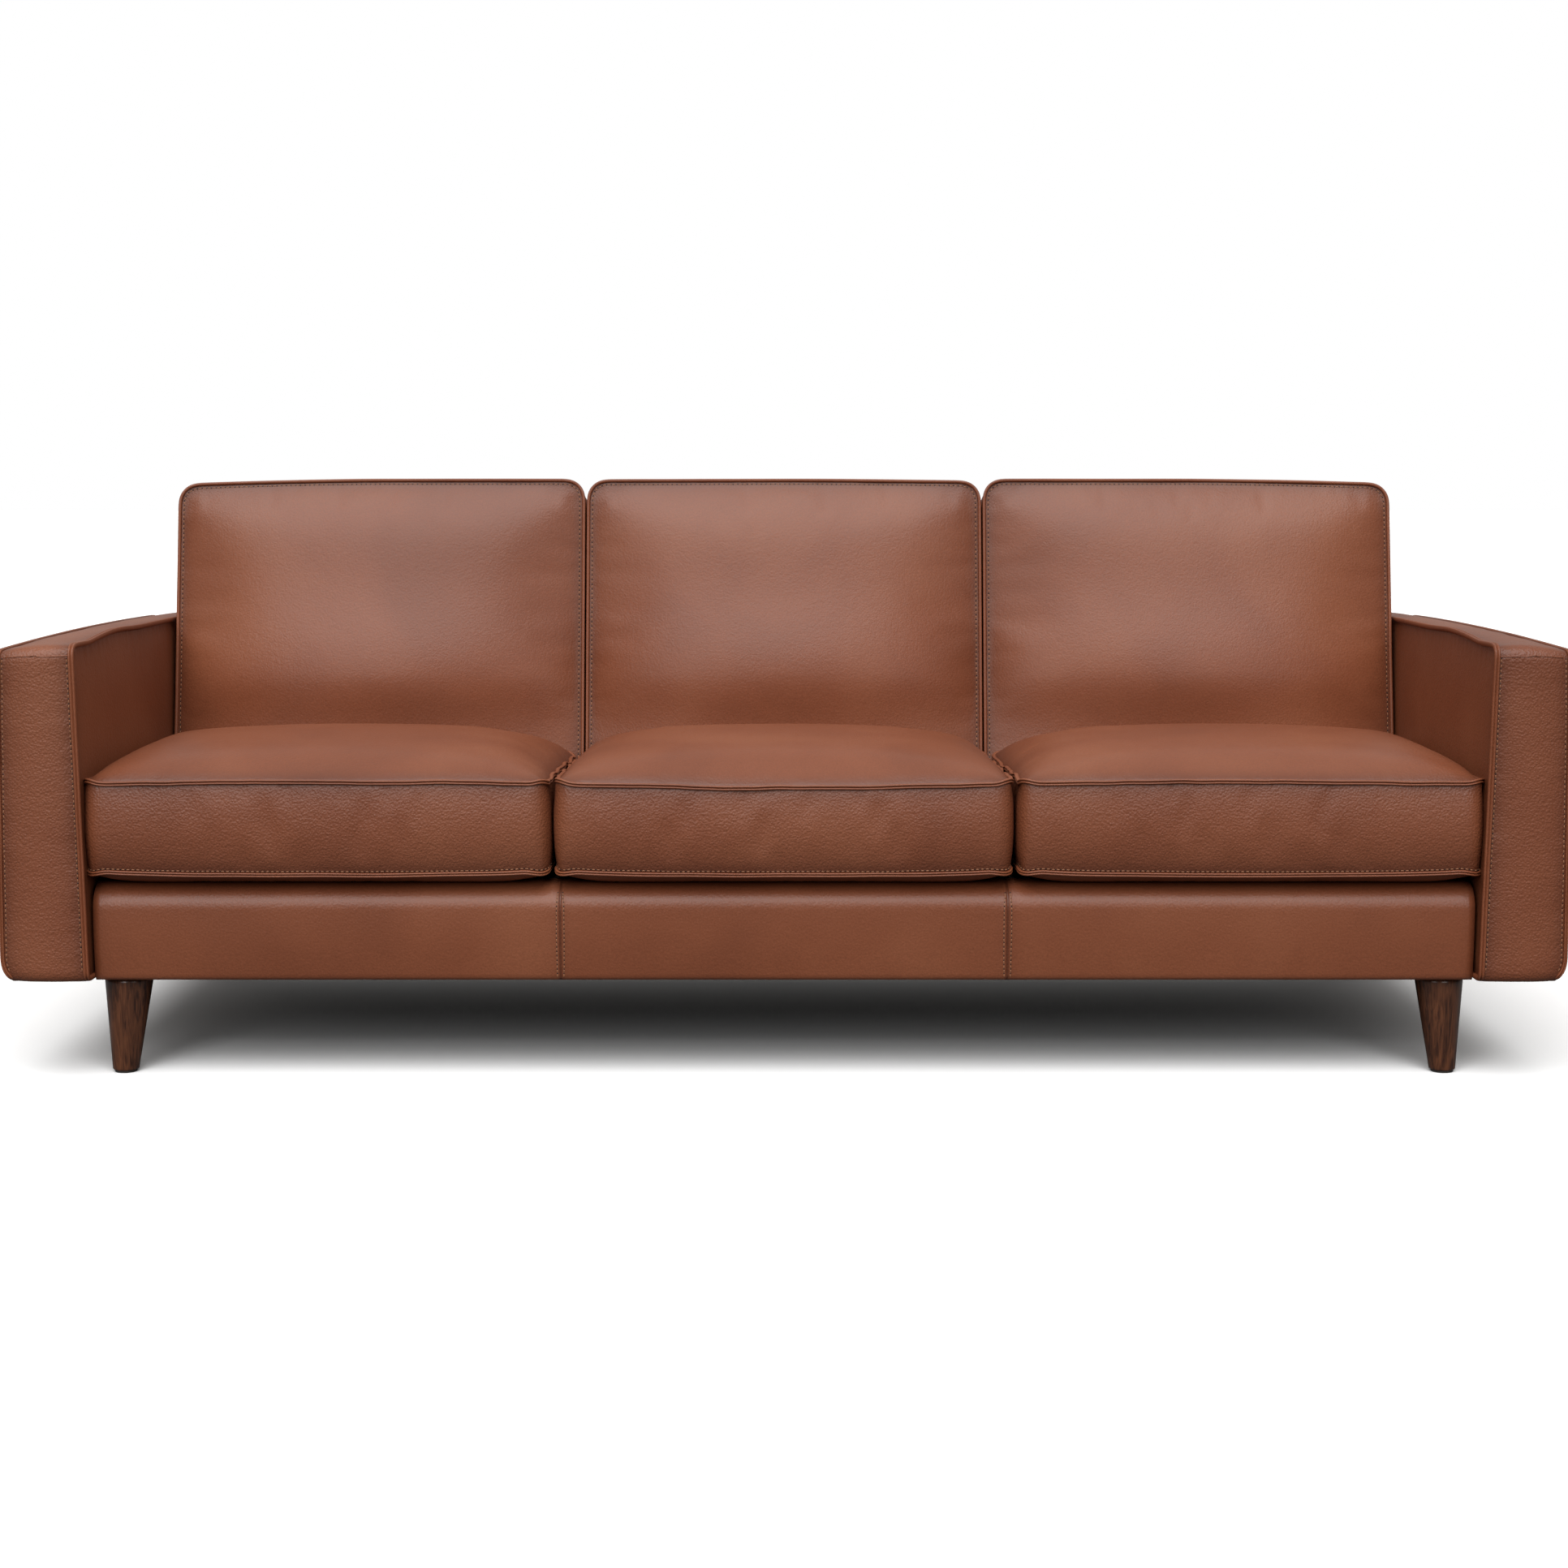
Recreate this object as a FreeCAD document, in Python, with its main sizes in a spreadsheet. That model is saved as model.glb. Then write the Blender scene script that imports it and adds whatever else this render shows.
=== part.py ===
import FreeCAD, Part
import math
import os
import re

import Sketcher
from FreeCAD import Placement, Rotation, Vector

# A three-seat sofa with track arms, loose box cushions and turned wooden legs.
# Millimetres; -Y is the front, +Z is up, and left and right are as seen from the front, +X to the right.
# The origin is on the floor, under the middle of the sofa.

SIZES = [
    ("overall_width", 2240, "outside of one arm to outside of the other"),
    ("overall_depth", 940, "front of the arms to the back of the arms"),
    ("leather", 3, "cover leather with its backing"),
    ("arm_width", 114, "each arm, across"),
    ("arm_base", 146, "underside of the arms"),
    ("arm_top", 632, "top of an arm at its two ends"),
    ("arm_crown", 5, "rise of an arm's top at mid length"),
    ("arm_round", 10, "radius of an arm's edges"),
    ("arm_wadding", 12, "foam between an arm's boards and its cover"),
    ("arm_board", 9, "plywood sides of an arm"),
    ("arm_batten", 45, "posts and rails inside an arm"),
    ("cover_turn_in", 25, "leather turned in under an arm and under the back"),
    ("timber", 24, "thickness of the rails, posts and stretchers"),
    ("base_low", 146.5, "underside of the seat frame"),
    ("base_high", 255, "top of the seat frame"),
    ("rail_setback", 30, "front rail's cover behind the front of the arms"),
    ("rail_low", 143.5, "lower edge of the front rail's cover"),
    ("rail_wadding", 7, "foam over the front rail"),
    ("rail_roll", 60, "depth of the soft roll on top of the front rail"),
    ("rail_clear", 3, "front rail's cover short of the arm"),
    ("deck_high", 285, "top of the seat deck"),
    ("deck_cloth", 1.5, "deck cloth"),
    ("deck_rear", 250, "rear edge of the deck"),
    ("dust_cloth", 1.5, "cloth under the seat frame"),
    ("spring_wire", 4, "diameter of the spring wire"),
    ("spring_width", 50, "width of one zigzag spring"),
    ("spring_spacing", 165, "between neighbouring springs"),
    ("spring_waves", 24, "bends in one spring"),
    ("spring_count", 12, "springs across the seat"),
    ("clip_width", 16, "spring clip, along the rail"),
    ("clip_sheet", 1.5, "spring clip's sheet steel"),
    ("block_leg", 110, "short sides of a corner block"),
    ("block_height", 50, "height of a corner block"),
    ("leg_top_x", 965.5, "middle of a leg's top from the sofa's middle"),
    ("leg_top_y", 392.5, "middle of a leg's top from the sofa's middle"),
    ("leg_foot_x", 973, "middle of a leg's foot"),
    ("leg_foot_y", 400, "middle of a leg's foot"),
    ("leg_top_radius", 35.3, "leg at its top"),
    ("leg_foot_radius", 19.2, "leg at its foot"),
    ("leg_bevel", 2, "bevel round the foot"),
    ("glide_radius", 16, "nylon glide"),
    ("glide_thick", 3, "nylon glide"),
    ("glide_pin", 2, "radius of the glide's nail"),
    ("glide_nail", 14, "length of the glide's nail"),
    ("bolt_radius", 3.95, "hanger bolts and arm bolts"),
    ("bolt_hole", 5, "radius of a hole for a bolt"),
    ("bolt_in_leg", 45, "hanger bolt's depth in the leg"),
    ("nut_flange", 11, "radius of a tee nut's flange"),
    ("nut_barrel", 9, "depth of a tee nut's barrel"),
    ("arm_bolt_height", 171.5, "arm bolts above the floor"),
    ("arm_bolt_pitch", 250, "between an arm's bolts"),
    ("arm_bolt_length", 94, "arm bolt under its head"),
    ("arm_bolt_head", 6.5, "radius of an arm bolt's head"),
    ("back_lean", 11, "degrees that the back leans"),
    ("back_seat_y", 255, "foot of the back's front face"),
    ("back_top", 815, "top of the back frame's cover"),
    ("back_rear", 466, "rear of the outside back"),
    ("back_side", 1004, "side of the outside back from the middle"),
    ("back_wadding", 6, "foam on the back's top rail"),
    ("webbing_thick", 3, "elastic webbing"),
    ("webbing_width", 60, "elastic webbing"),
    ("webbing_pitch", 100, "between webbing straps"),
    ("cushion_gap", 3, "between neighbouring cushions"),
    ("cushion_lift", 0.5, "cushion clear of what it rests on"),
    ("cushion_leather", 2, "cushion covers"),
    ("cushion_edge", 12, "radius of a cushion's edges"),
    ("seat_split", 331.5, "between seat cushions, from the middle"),
    ("seat_front", 10, "seat cushions behind the front of the arms"),
    ("seat_length", 536, "seat cushion, front to back"),
    ("seat_thick", 150.5, "seat cushion at its edges"),
    ("seat_crown", 42, "rise of a seat cushion's middle"),
    ("seat_corner", 22, "radius of a seat cushion's corners"),
    ("back_split", 337.5, "between back cushions, from the middle"),
    ("back_length", 560, "back cushion, bottom to top"),
    ("back_thick", 175, "back cushion at its edges"),
    ("back_crown", 22, "rise of a back cushion's middle"),
    ("back_corner", 30, "radius of a back cushion's corners"),
]

doc = FreeCAD.newDocument("sofa")
sheet = doc.addObject("Spreadsheet::Sheet", "Sizes")
for row, (alias, size, meaning) in enumerate(SIZES, start=1):
    sheet.set(f"A{row}", alias)
    sheet.set(f"B{row}", str(size))
    sheet.setAlias(f"B{row}", alias)
    sheet.set(f"C{row}", meaning)
doc.recompute()

ALIASES = {alias for alias, size, meaning in SIZES}
SIDES = (("left", -1), ("right", 1))
nodes = []


# ---- helpers that bind shapes to the sheet ----

def formula(text):
    """An expression for setExpression from one written with the sheet's bare aliases."""
    def with_sheet(word):
        return f"Sizes.{word[0]}" if word[0] in ALIASES else word[0]
    return re.sub(r"[a-z][a-z_]*", with_sheet, str(text))


def value(text):
    """The number that a formula gives now."""
    return float(sheet.evalExpression(formula(text)))


def across(side, low, high):
    """The range low..high on one side of the middle: side is -1 on the left and 1 on the right."""
    if side > 0:
        return low, high
    return f"-({high})", f"-({low})"


def node(piece):
    """Marks an object as a sub-part that is written out under its own name."""
    nodes.append(piece)
    return piece


def place(piece, x="0", y="0", z="0"):
    """Binds an object's position to the sheet."""
    for axis, where in zip("xyz", (x, y, z)):
        piece.setExpression(f"Placement.Base.{axis}", formula(where))
    return piece


def board(label, x, y, z):
    """A straight piece that fills the ranges x, y and z, each given as (low, high)."""
    box = doc.addObject("Part::Box", label)
    for size, (low, high) in zip(("Length", "Width", "Height"), (x, y, z)):
        box.setExpression(size, formula(f"({high}) - ({low})"))
    return place(box, x[0], y[0], z[0])


def rod(label, radius, length, x, y, z, along_x=0):
    """A cylinder standing on (x, y, z), or lying along X where along_x is 1 or -1."""
    cylinder = doc.addObject("Part::Cylinder", label)
    cylinder.setExpression("Radius", formula(radius))
    cylinder.setExpression("Height", formula(length))
    if along_x:
        cylinder.Placement = Placement(Vector(), Rotation(Vector(0, 1, 0), 90 * along_x))
    return place(cylinder, x, y, z)


def boolean(kind, label, base, tool):
    """A Part::Cut, Part::Fuse or Part::Common of two objects."""
    result = doc.addObject(f"Part::{kind}", label)
    result.Base = base
    result.Tool = tool
    return result


def group(label, pieces):
    """Like pieces that share one node, as separate solids."""
    compound = doc.addObject("Part::Compound", label)
    compound.Links = pieces
    return compound


def own_plane(body, role):
    """One of a body's own origin planes."""
    return next(item for item in body.Origin.OriginFeatures if item.Role == role)


def new_sketch(body, name, role, lift):
    """An empty sketch on one of the body's own planes, raised off it by lift."""
    sketch = body.newObject("Sketcher::SketchObject", f"{body.Name}_{name}")
    sketch.AttachmentSupport = [(own_plane(body, role), "")]
    sketch.MapMode = "FlatFace"
    sketch.setExpression("AttachmentOffset.Base.z", formula(lift))
    return sketch


def dimension(sketch, kind, targets, text):
    """A sketch dimension that follows a formula."""
    number = sketch.addConstraint(Sketcher.Constraint(kind, *targets, value(text)))
    sketch.setExpression(f"Constraints[{number}]", formula(text))


def bulging_arc(start, end, radius):
    """The arc from start to end that bulges away from the inside of an anticlockwise outline."""
    chord = end - start
    inward = Vector(-chord.y, chord.x, 0).normalize()
    centre = (start + end) * 0.5 + inward * math.sqrt(radius ** 2 - (chord.Length / 2) ** 2)
    first, last = (math.atan2((p - centre).y, (p - centre).x) for p in (start, end))
    return Part.ArcOfCircle(Part.Circle(centre, Vector(0, 0, 1), radius), first, last)


def outline(body, name, role, corners, lift="0", arcs=()):
    """A closed anticlockwise sketch through corners given as formulas.

    arcs gives the rise of each edge that is an arc, by the number of the corner it starts from.
    """
    sketch = new_sketch(body, name, role, lift)
    arcs = dict(arcs)
    points = [Vector(value(u), value(v), 0) for u, v in corners]
    for number, start in enumerate(points):
        end = points[(number + 1) % len(points)]
        if number in arcs:
            sketch.addGeometry(bulging_arc(start, end, value(arcs[number])))
        else:
            sketch.addGeometry(Part.LineSegment(start, end))
    for number, (u, v) in enumerate(corners):
        following = (number + 1) % len(points)
        sketch.addConstraint(Sketcher.Constraint("Coincident", number, 2, following, 1))
        dimension(sketch, "DistanceX", (-1, 1, number, 1), u)
        dimension(sketch, "DistanceY", (-1, 1, number, 1), v)
        if number in arcs:
            dimension(sketch, "Radius", (number,), arcs[number])
    return sketch


def rectangle(body, name, role, u, v, lift="0"):
    """A rectangular sketch over the ranges u and v."""
    corners = [(u[0], v[0]), (u[1], v[0]), (u[1], v[1]), (u[0], v[1])]
    return outline(body, name, role, corners, lift)


def ring(body, name, x, y, radius, lift):
    """A circle on the body's XY plane, raised by lift."""
    sketch = new_sketch(body, name, "XY_Plane", lift)
    sketch.addGeometry(Part.Circle(Vector(value(x), value(y), 0), Vector(0, 0, 1), value(radius)))
    dimension(sketch, "DistanceX", (-1, 1, 0, 3), x)
    dimension(sketch, "DistanceY", (-1, 1, 0, 3), y)
    dimension(sketch, "Radius", (0,), radius)
    return sketch


def pad(body, sketch, length, symmetric=True):
    """Raises a sketch to a solid."""
    feature = body.newObject("PartDesign::Pad", f"{sketch.Name}_pad")
    feature.Profile = sketch
    feature.SideType = "Symmetric" if symmetric else "One side"
    feature.setExpression("Length", formula(length))
    return feature


def pocket(body, sketch, depth, upward=False, symmetric=False):
    """Cuts a sketch out of the body, downward from it unless upward is set."""
    feature = body.newObject("PartDesign::Pocket", f"{sketch.Name}_pocket")
    feature.Profile = sketch
    feature.SideType = "Symmetric" if symmetric else "One side"
    feature.Reversed = upward
    feature.setExpression("Length", formula(depth))
    return feature


def round_all(body, feature, radius):
    """Rounds every edge that the body has so far."""
    doc.recompute()
    fillet = body.newObject("PartDesign::Fillet", f"{feature.Name}_round")
    fillet.Base = (feature, [f"Edge{n + 1}" for n in range(len(feature.Shape.Edges))])
    fillet.setExpression("Radius", formula(radius))
    return fillet


def arc_radius(chord, rise):
    """Radius of the arc that rises by rise over a chord."""
    return f"(({chord})^2 / (8 * {rise}) + {rise} / 2)"


# ---- places that several pieces share, from the middle of the sofa ----

ARM_INNER = "(overall_width / 2 - arm_width)"
ARM_END = "(overall_depth / 2)"
ARM_CORE_LOW = "(arm_base + leather)"
ARM_CORE_HIGH = "(arm_top - leather - arm_wadding)"
ARM_CORE_END = f"({ARM_END} - leather - arm_wadding)"
ARM_SKIN = "(leather + arm_wadding)"
RAIL_FRONT = f"(-{ARM_END} + rail_setback)"
RAIL_WOOD = f"({RAIL_FRONT} + leather + rail_wadding)"
RAIL_HALF = f"({ARM_INNER} - rail_clear)"
REAR_WOOD = "(back_rear - leather)"
LEG_TOP = "(base_low - dust_cloth)"
SPRING_HEIGHT = "(base_high + spring_wire / 2)"
BACK_FACE = "(cushion_lift + leather + webbing_thick)"
BACK_RAIL_TOP = "(back_top - leather - back_wadding)"
BACK_INSIDE = "(back_side - leather)"


def back_front(height, behind):
    """Y of the plane that lies behind the back cushions by a given distance, at a height."""
    rise = f"(({height}) - deck_high - cushion_lift)"
    return f"(back_seat_y + ({behind}) / cos(back_lean) + {rise} * tan(back_lean))"


# ---- arms: a box frame of battens and plywood, wadding, and a sewn leather cover ----

def make_bolt_holes():
    """The holes for the three bolts that hold each arm to the seat frame."""
    holes = []
    for name, side in SIDES:
        for number in (-1, 0, 1):
            start = f"{side} * ({ARM_INNER} - timber - 10)"
            label = f"hole_{name}_{number + 2}"
            holes.append(rod(label, "bolt_hole", "arm_bolt_length + 12", start,
                             f"{number} * arm_bolt_pitch", "arm_bolt_height", side))
    return group("arm_bolt_holes", holes)


def make_arm_cover(name, side, holes):
    """A leather sleeve over the whole arm, turned in underneath."""
    body = doc.addObject("PartDesign::Body", f"arm_sleeve_{name}")
    profile = outline(
        body, "side", "YZ_Plane",
        [(f"-{ARM_END}", "arm_base"), (ARM_END, "arm_base"),
         (ARM_END, "arm_top"), (f"-{ARM_END}", "arm_top")],
        arcs={2: arc_radius("overall_depth", "arm_crown")})
    round_all(body, pad(body, profile, "arm_width"), "arm_round")
    half, end = "(arm_width / 2 - leather)", f"({ARM_END} - leather)"
    inside = rectangle(body, "inside", "XY_Plane", (f"-{half}", half), (f"-{end}", end), ARM_CORE_LOW)
    pocket(body, inside, f"arm_top - leather - {ARM_CORE_LOW}", upward=True)
    half, end = f"({half} - cover_turn_in)", f"({end} - cover_turn_in)"
    mouth = rectangle(body, "mouth", "XY_Plane", (f"-{half}", half), (f"-{end}", end), ARM_CORE_LOW)
    pocket(body, mouth, "2 * leather")
    place(body, f"{side} * ({ARM_INNER} + arm_width / 2)")
    return boolean("Cut", f"arm_cover_{name}", body, holes)


def make_arm(name, side, holes):
    """Every piece of one arm."""
    node(make_arm_cover(name, side, holes))
    core = across(side, f"{ARM_INNER} + {ARM_SKIN}", f"overall_width / 2 - {ARM_SKIN}")
    length = (f"-{ARM_CORE_END}", ARM_CORE_END)
    height = (ARM_CORE_LOW, ARM_CORE_HIGH)

    foam = board(f"arm_foam_{name}", across(side, f"{ARM_INNER} + leather", "overall_width / 2 - leather"),
                 (f"-{ARM_END} + leather", f"{ARM_END} - leather"), (ARM_CORE_LOW, "arm_top - leather"))
    hollow = board(f"arm_hollow_{name}", core, length, height)
    lined = boolean("Cut", f"arm_lining_{name}", foam, hollow)
    node(boolean("Cut", f"arm_padding_{name}", lined, holes))

    inner = board(f"arm_inner_panel_{name}",
                  across(side, f"{ARM_INNER} + {ARM_SKIN}", f"{ARM_INNER} + {ARM_SKIN} + arm_board"),
                  length, height)
    node(boolean("Cut", f"arm_inner_board_{name}", inner, holes))
    outer_face = f"overall_width / 2 - {ARM_SKIN}"
    outside = across(side, f"{outer_face} - arm_board", outer_face)
    node(board(f"arm_outer_board_{name}", outside, length, height))

    between = across(side, f"{ARM_INNER} + {ARM_SKIN} + arm_board", f"{outer_face} - arm_board")
    front = (f"-{ARM_CORE_END}", f"-{ARM_CORE_END} + arm_batten")
    rear = (f"{ARM_CORE_END} - arm_batten", ARM_CORE_END)
    node(board(f"arm_front_post_{name}", between, front, height))
    node(board(f"arm_rear_post_{name}", between, rear, height))
    span = (f"-{ARM_CORE_END} + arm_batten", f"{ARM_CORE_END} - arm_batten")
    node(board(f"arm_top_rail_{name}", between, span, (f"{ARM_CORE_HIGH} - arm_batten", ARM_CORE_HIGH)))
    low_rail = board(f"arm_low_batten_{name}", between, span, (ARM_CORE_LOW, f"{ARM_CORE_LOW} + arm_batten"))
    node(boolean("Cut", f"arm_bottom_rail_{name}", low_rail, holes))


def make_arm_bolts():
    """Hexagon-headed bolts, three to an arm, their heads inside the seat frame."""
    bolts = []
    for name, side in SIDES:
        face = f"{side} * ({ARM_INNER} - timber)"
        for number in (-1, 0, 1):
            where = (face, f"{number} * arm_bolt_pitch", "arm_bolt_height")
            shank = rod(f"shank_{name}_{number + 2}", "bolt_radius", "arm_bolt_length", *where, side)
            head = doc.addObject("Part::Prism", f"head_{name}_{number + 2}")
            head.Polygon = 6
            head.setExpression("Circumradius", formula("arm_bolt_head"))
            head.setExpression("Height", formula("bolt_radius * 1.5"))
            head.Placement = Placement(Vector(), Rotation(Vector(0, 1, 0), -90 * side))
            place(head, *where)
            bolts.append(boolean("Fuse", f"arm_bolt_{name}_{number + 2}", shank, head))
    return node(group("arm_bolts", bolts))


# ---- seat frame: rails, stretchers, corner blocks, springs and deck ----

def make_seat_frame(holes):
    """The hardwood rails and stretchers under the seat."""
    height = ("base_low", "base_high")
    behind_rail = f"{RAIL_WOOD} + timber"
    before_rear = f"{REAR_WOOD} - timber"
    node(board("front_rail", (f"-{RAIL_HALF}", RAIL_HALF), (RAIL_WOOD, behind_rail), height))
    node(board("back_rail", (f"-{BACK_INSIDE}", BACK_INSIDE), (before_rear, REAR_WOOD), height))
    for name, side in SIDES:
        plank = board(f"side_plank_{name}", across(side, f"{ARM_INNER} - timber", ARM_INNER),
                      (behind_rail, before_rear), height)
        node(boolean("Cut", f"side_rail_{name}", plank, holes))
        under_post = across(side, "back_split - timber / 2", "back_split + timber / 2")
        node(board(f"seat_stretcher_{name}", under_post, (behind_rail, before_rear), height))


def make_corner_block(name, side, front):
    """A three-cornered block glued into a corner, with the hole for the leg's bolt."""
    body = doc.addObject("PartDesign::Body", f"corner_block_{name}")
    x = f"{side} * ({ARM_INNER} - timber)"
    y = f"({RAIL_WOOD} + timber)" if front < 0 else f"({REAR_WOOD} - timber)"
    corners = [(x, y), (f"{x} - {side} * block_leg", y), (x, f"{y} - {front} * block_leg")]
    if side * front > 0:
        corners.reverse()
    pad(body, outline(body, "plan", "XY_Plane", corners, "base_low"), "block_height", symmetric=False)
    where = (f"{side} * leg_top_x", f"{front} * leg_top_y")
    hole = ring(body, "hole", *where, "bolt_hole", "base_low + block_height")
    pocket(body, hole, "block_height")
    return body


def make_spring():
    """One zigzag spring: straight bars joined by half rounds, of wire drawn eight-sided here."""
    wire = value("spring_wire") / 2
    first = value(f"{RAIL_WOOD} + timber / 2")
    last = value(f"{REAR_WOOD} - timber / 2")
    waves = int(value("spring_waves"))
    pitch = (last - first) / waves
    bar = value("spring_width") / 2 - wire - pitch / 2
    height = value(SPRING_HEIGHT)
    edges = []
    for number in range(waves + 1):
        way = 1 if number % 2 == 0 else -1
        here = first + number * pitch
        start, end = Vector(-way * bar, here, height), Vector(way * bar, here, height)
        edges.append(Part.LineSegment(start, end).toShape())
        if number < waves:
            middle = Vector(way * (bar + pitch / 2), here + pitch / 2, height)
            edges.append(Part.Arc(end, middle, Vector(way * bar, here + pitch, height)).toShape())
    turns = [math.radians(22.5 + 45 * number) for number in range(9)]
    section = Part.makePolygon(
        [Vector(-bar, first + wire * math.cos(turn), height + wire * math.sin(turn)) for turn in turns])
    return Part.Wire(edges).makePipe(Part.Face(section))


def make_springs_and_clips():
    """The row of zigzag springs and the folded steel clips that hold their ends."""
    count = int(value("spring_count"))
    places = [(number - (count - 1) / 2) * value("spring_spacing") for number in range(count)]
    spring = make_spring()
    springs = doc.addObject("Part::Feature", "seat_springs")
    springs.Shape = Part.makeCompound([spring.translated(Vector(x, 0, 0)) for x in places])
    node(springs)

    lids = []
    roof = f"{SPRING_HEIGHT} + spring_wire / 2"
    for end, middle in (("front", f"{RAIL_WOOD} + timber / 2"), ("rear", f"{REAR_WOOD} - timber / 2")):
        for number in range(count):
            x = f"({number} - (spring_count - 1) / 2) * spring_spacing"
            lids.append(board(f"clip_{end}_{number + 1}", (f"{x} - clip_width / 2", f"{x} + clip_width / 2"),
                              (f"{middle} - timber / 3", f"{middle} + timber / 3"),
                              (roof, f"{roof} + clip_sheet")))
    node(group("spring_clips", lids))


def make_deck():
    """Foam and cloth over the springs, and the cloth stapled under the frame."""
    roof = f"({SPRING_HEIGHT} + spring_wire / 2 + clip_sheet)"
    side = (f"-{RAIL_HALF}", RAIL_HALF)
    run = (f"{RAIL_FRONT} + rail_roll + leather", "deck_rear")
    node(board("deck_padding", side, run, (roof, "deck_high - deck_cloth")))
    node(board("seat_deck", side, run, ("deck_high - deck_cloth", "deck_high")))

    under = (f"{RAIL_WOOD} + timber / 2", f"{REAR_WOOD} - leather")
    cloth = board("dust_sheet", side, under, (LEG_TOP, "base_low"))
    pricks = [rod(f"prick_{corner}", "bolt_hole", "4 * dust_cloth", x, y, f"{LEG_TOP} - dust_cloth")
              for corner, side, front, x, y in leg_corners()]
    node(boolean("Cut", "dust_cover", cloth, group("leg_bolt_pricks", pricks)))


def make_front_rail_dress():
    """The foam and the leather on the front rail: down its face and back over a soft roll."""
    half = f"2 * {RAIL_HALF}"
    face, wood = f"({RAIL_FRONT} + leather)", RAIL_WOOD
    roll_end = f"({RAIL_FRONT} + rail_roll)"
    top = "(deck_high - leather)"
    body = doc.addObject("PartDesign::Body", "front_rail_padding")
    clip_top = f"({SPRING_HEIGHT} + spring_wire / 2 + clip_sheet)"
    foam = outline(body, "section", "YZ_Plane", [
        (face, "base_low"), (wood, "base_low"), (wood, clip_top), (roll_end, clip_top),
        (roll_end, top), (face, top)])
    pad(body, foam, half)
    node(body)

    body = doc.addObject("PartDesign::Body", "front_rail_cover")
    skin = outline(body, "section", "YZ_Plane", [
        (RAIL_FRONT, "rail_low"), (wood, "rail_low"), (wood, "base_low"), (face, "base_low"), (face, top),
        (roll_end, top), (roll_end, "deck_high"), (f"{RAIL_FRONT} + 3 * leather", "deck_high"),
        (RAIL_FRONT, "deck_high - 3 * leather")],
        arcs={7: "3 * leather"})
    pad(body, skin, half)
    return node(body)


# ---- legs: turned, splayed hardwood on hanger bolts ----

def leg_corners():
    """(name, side, front, x, y of the leg's top) of each corner."""
    found = []
    for depth, front in (("front", -1), ("rear", 1)):
        for name, side in SIDES:
            found.append((f"{depth}_{name}", side, front, f"{side} * leg_top_x", f"{front} * leg_top_y"))
    return found


def make_leg(corner, side, front):
    """A round tapered leg, splayed outwards, bored for its bolt and for its glide's nail."""
    body = doc.addObject("PartDesign::Body", f"leg_{corner}")
    foot = (f"{side} * leg_foot_x", f"{front} * leg_foot_y")
    top = (f"{side} * leg_top_x", f"{front} * leg_top_y")
    bevel_high = "glide_thick + leg_bevel"
    rings = [
        ring(body, "foot", *foot, "leg_foot_radius - leg_bevel", "glide_thick"),
        ring(body, "bevel", *foot, "leg_foot_radius", bevel_high),
        ring(body, "top", *top, "leg_top_radius", LEG_TOP),
    ]
    loft = body.newObject("PartDesign::AdditiveLoft", f"leg_{corner}_turned")
    loft.Profile = rings[0]
    loft.Sections = rings[1:]
    loft.Ruled = True
    pocket(body, ring(body, "bore", *top, "bolt_radius + 0.05", LEG_TOP), "bolt_in_leg")
    pocket(body, ring(body, "nail_hole", *foot, "glide_pin", "glide_thick"), "glide_nail", upward=True)
    return node(body)


def make_leg_fittings():
    """Hanger bolts, tee nuts and glides, one of each to a leg."""
    bolts, nuts, glides, blocks = [], [], [], []
    block_top = "(base_low + block_height)"
    bolt_low = f"({LEG_TOP} - bolt_in_leg)"
    for corner, side, front, x, y in leg_corners():
        make_leg(corner, side, front)
        blocks.append(make_corner_block(corner, side, front))
        bolts.append(rod(f"hanger_{corner}", "bolt_radius", f"{block_top} + 8 - {bolt_low}", x, y, bolt_low))

        barrel = rod(f"nut_barrel_{corner}", "bolt_hole", "nut_barrel", x, y, f"{block_top} - nut_barrel")
        flange = rod(f"nut_flange_{corner}", "nut_flange", "clip_sheet", x, y, block_top)
        blank = boolean("Fuse", f"nut_blank_{corner}", barrel, flange)
        thread = rod(f"nut_thread_{corner}", "bolt_radius + 0.05", "nut_barrel + 10", x, y,
                     f"{block_top} - nut_barrel - 5")
        nuts.append(boolean("Cut", f"tee_nut_{corner}", blank, thread))

        foot = (f"{side} * leg_foot_x", f"{front} * leg_foot_y")
        disc = rod(f"glide_disc_{corner}", "glide_radius", "glide_thick", *foot, "0")
        nail = rod(f"glide_nail_{corner}", "glide_pin", "glide_thick + glide_nail", *foot, "0")
        glides.append(boolean("Fuse", f"glide_{corner}", disc, nail))
    node(group("corner_blocks", blocks))
    node(group("hanger_bolts", bolts))
    node(group("tee_nuts", nuts))
    node(group("glides", glides))


# ---- back: four shaped posts, rails behind them, webbing, and the leather outside back ----

def make_back_post(name, low_x, high_x):
    """A shaped upright: its front edge leans, its rear edge stands straight."""
    body = doc.addObject("PartDesign::Body", f"back_post_{name}")
    top = f"({BACK_RAIL_TOP} - timber)"
    rear = f"({REAR_WOOD} - timber)"
    profile = outline(body, "side", "YZ_Plane", [
        (back_front("base_high", BACK_FACE), "base_high"), (rear, "base_high"), (rear, top),
        (back_front(top, BACK_FACE), top)])
    pad(body, profile, "timber")
    return node(place(body, f"(({low_x}) + ({high_x})) / 2"))


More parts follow.
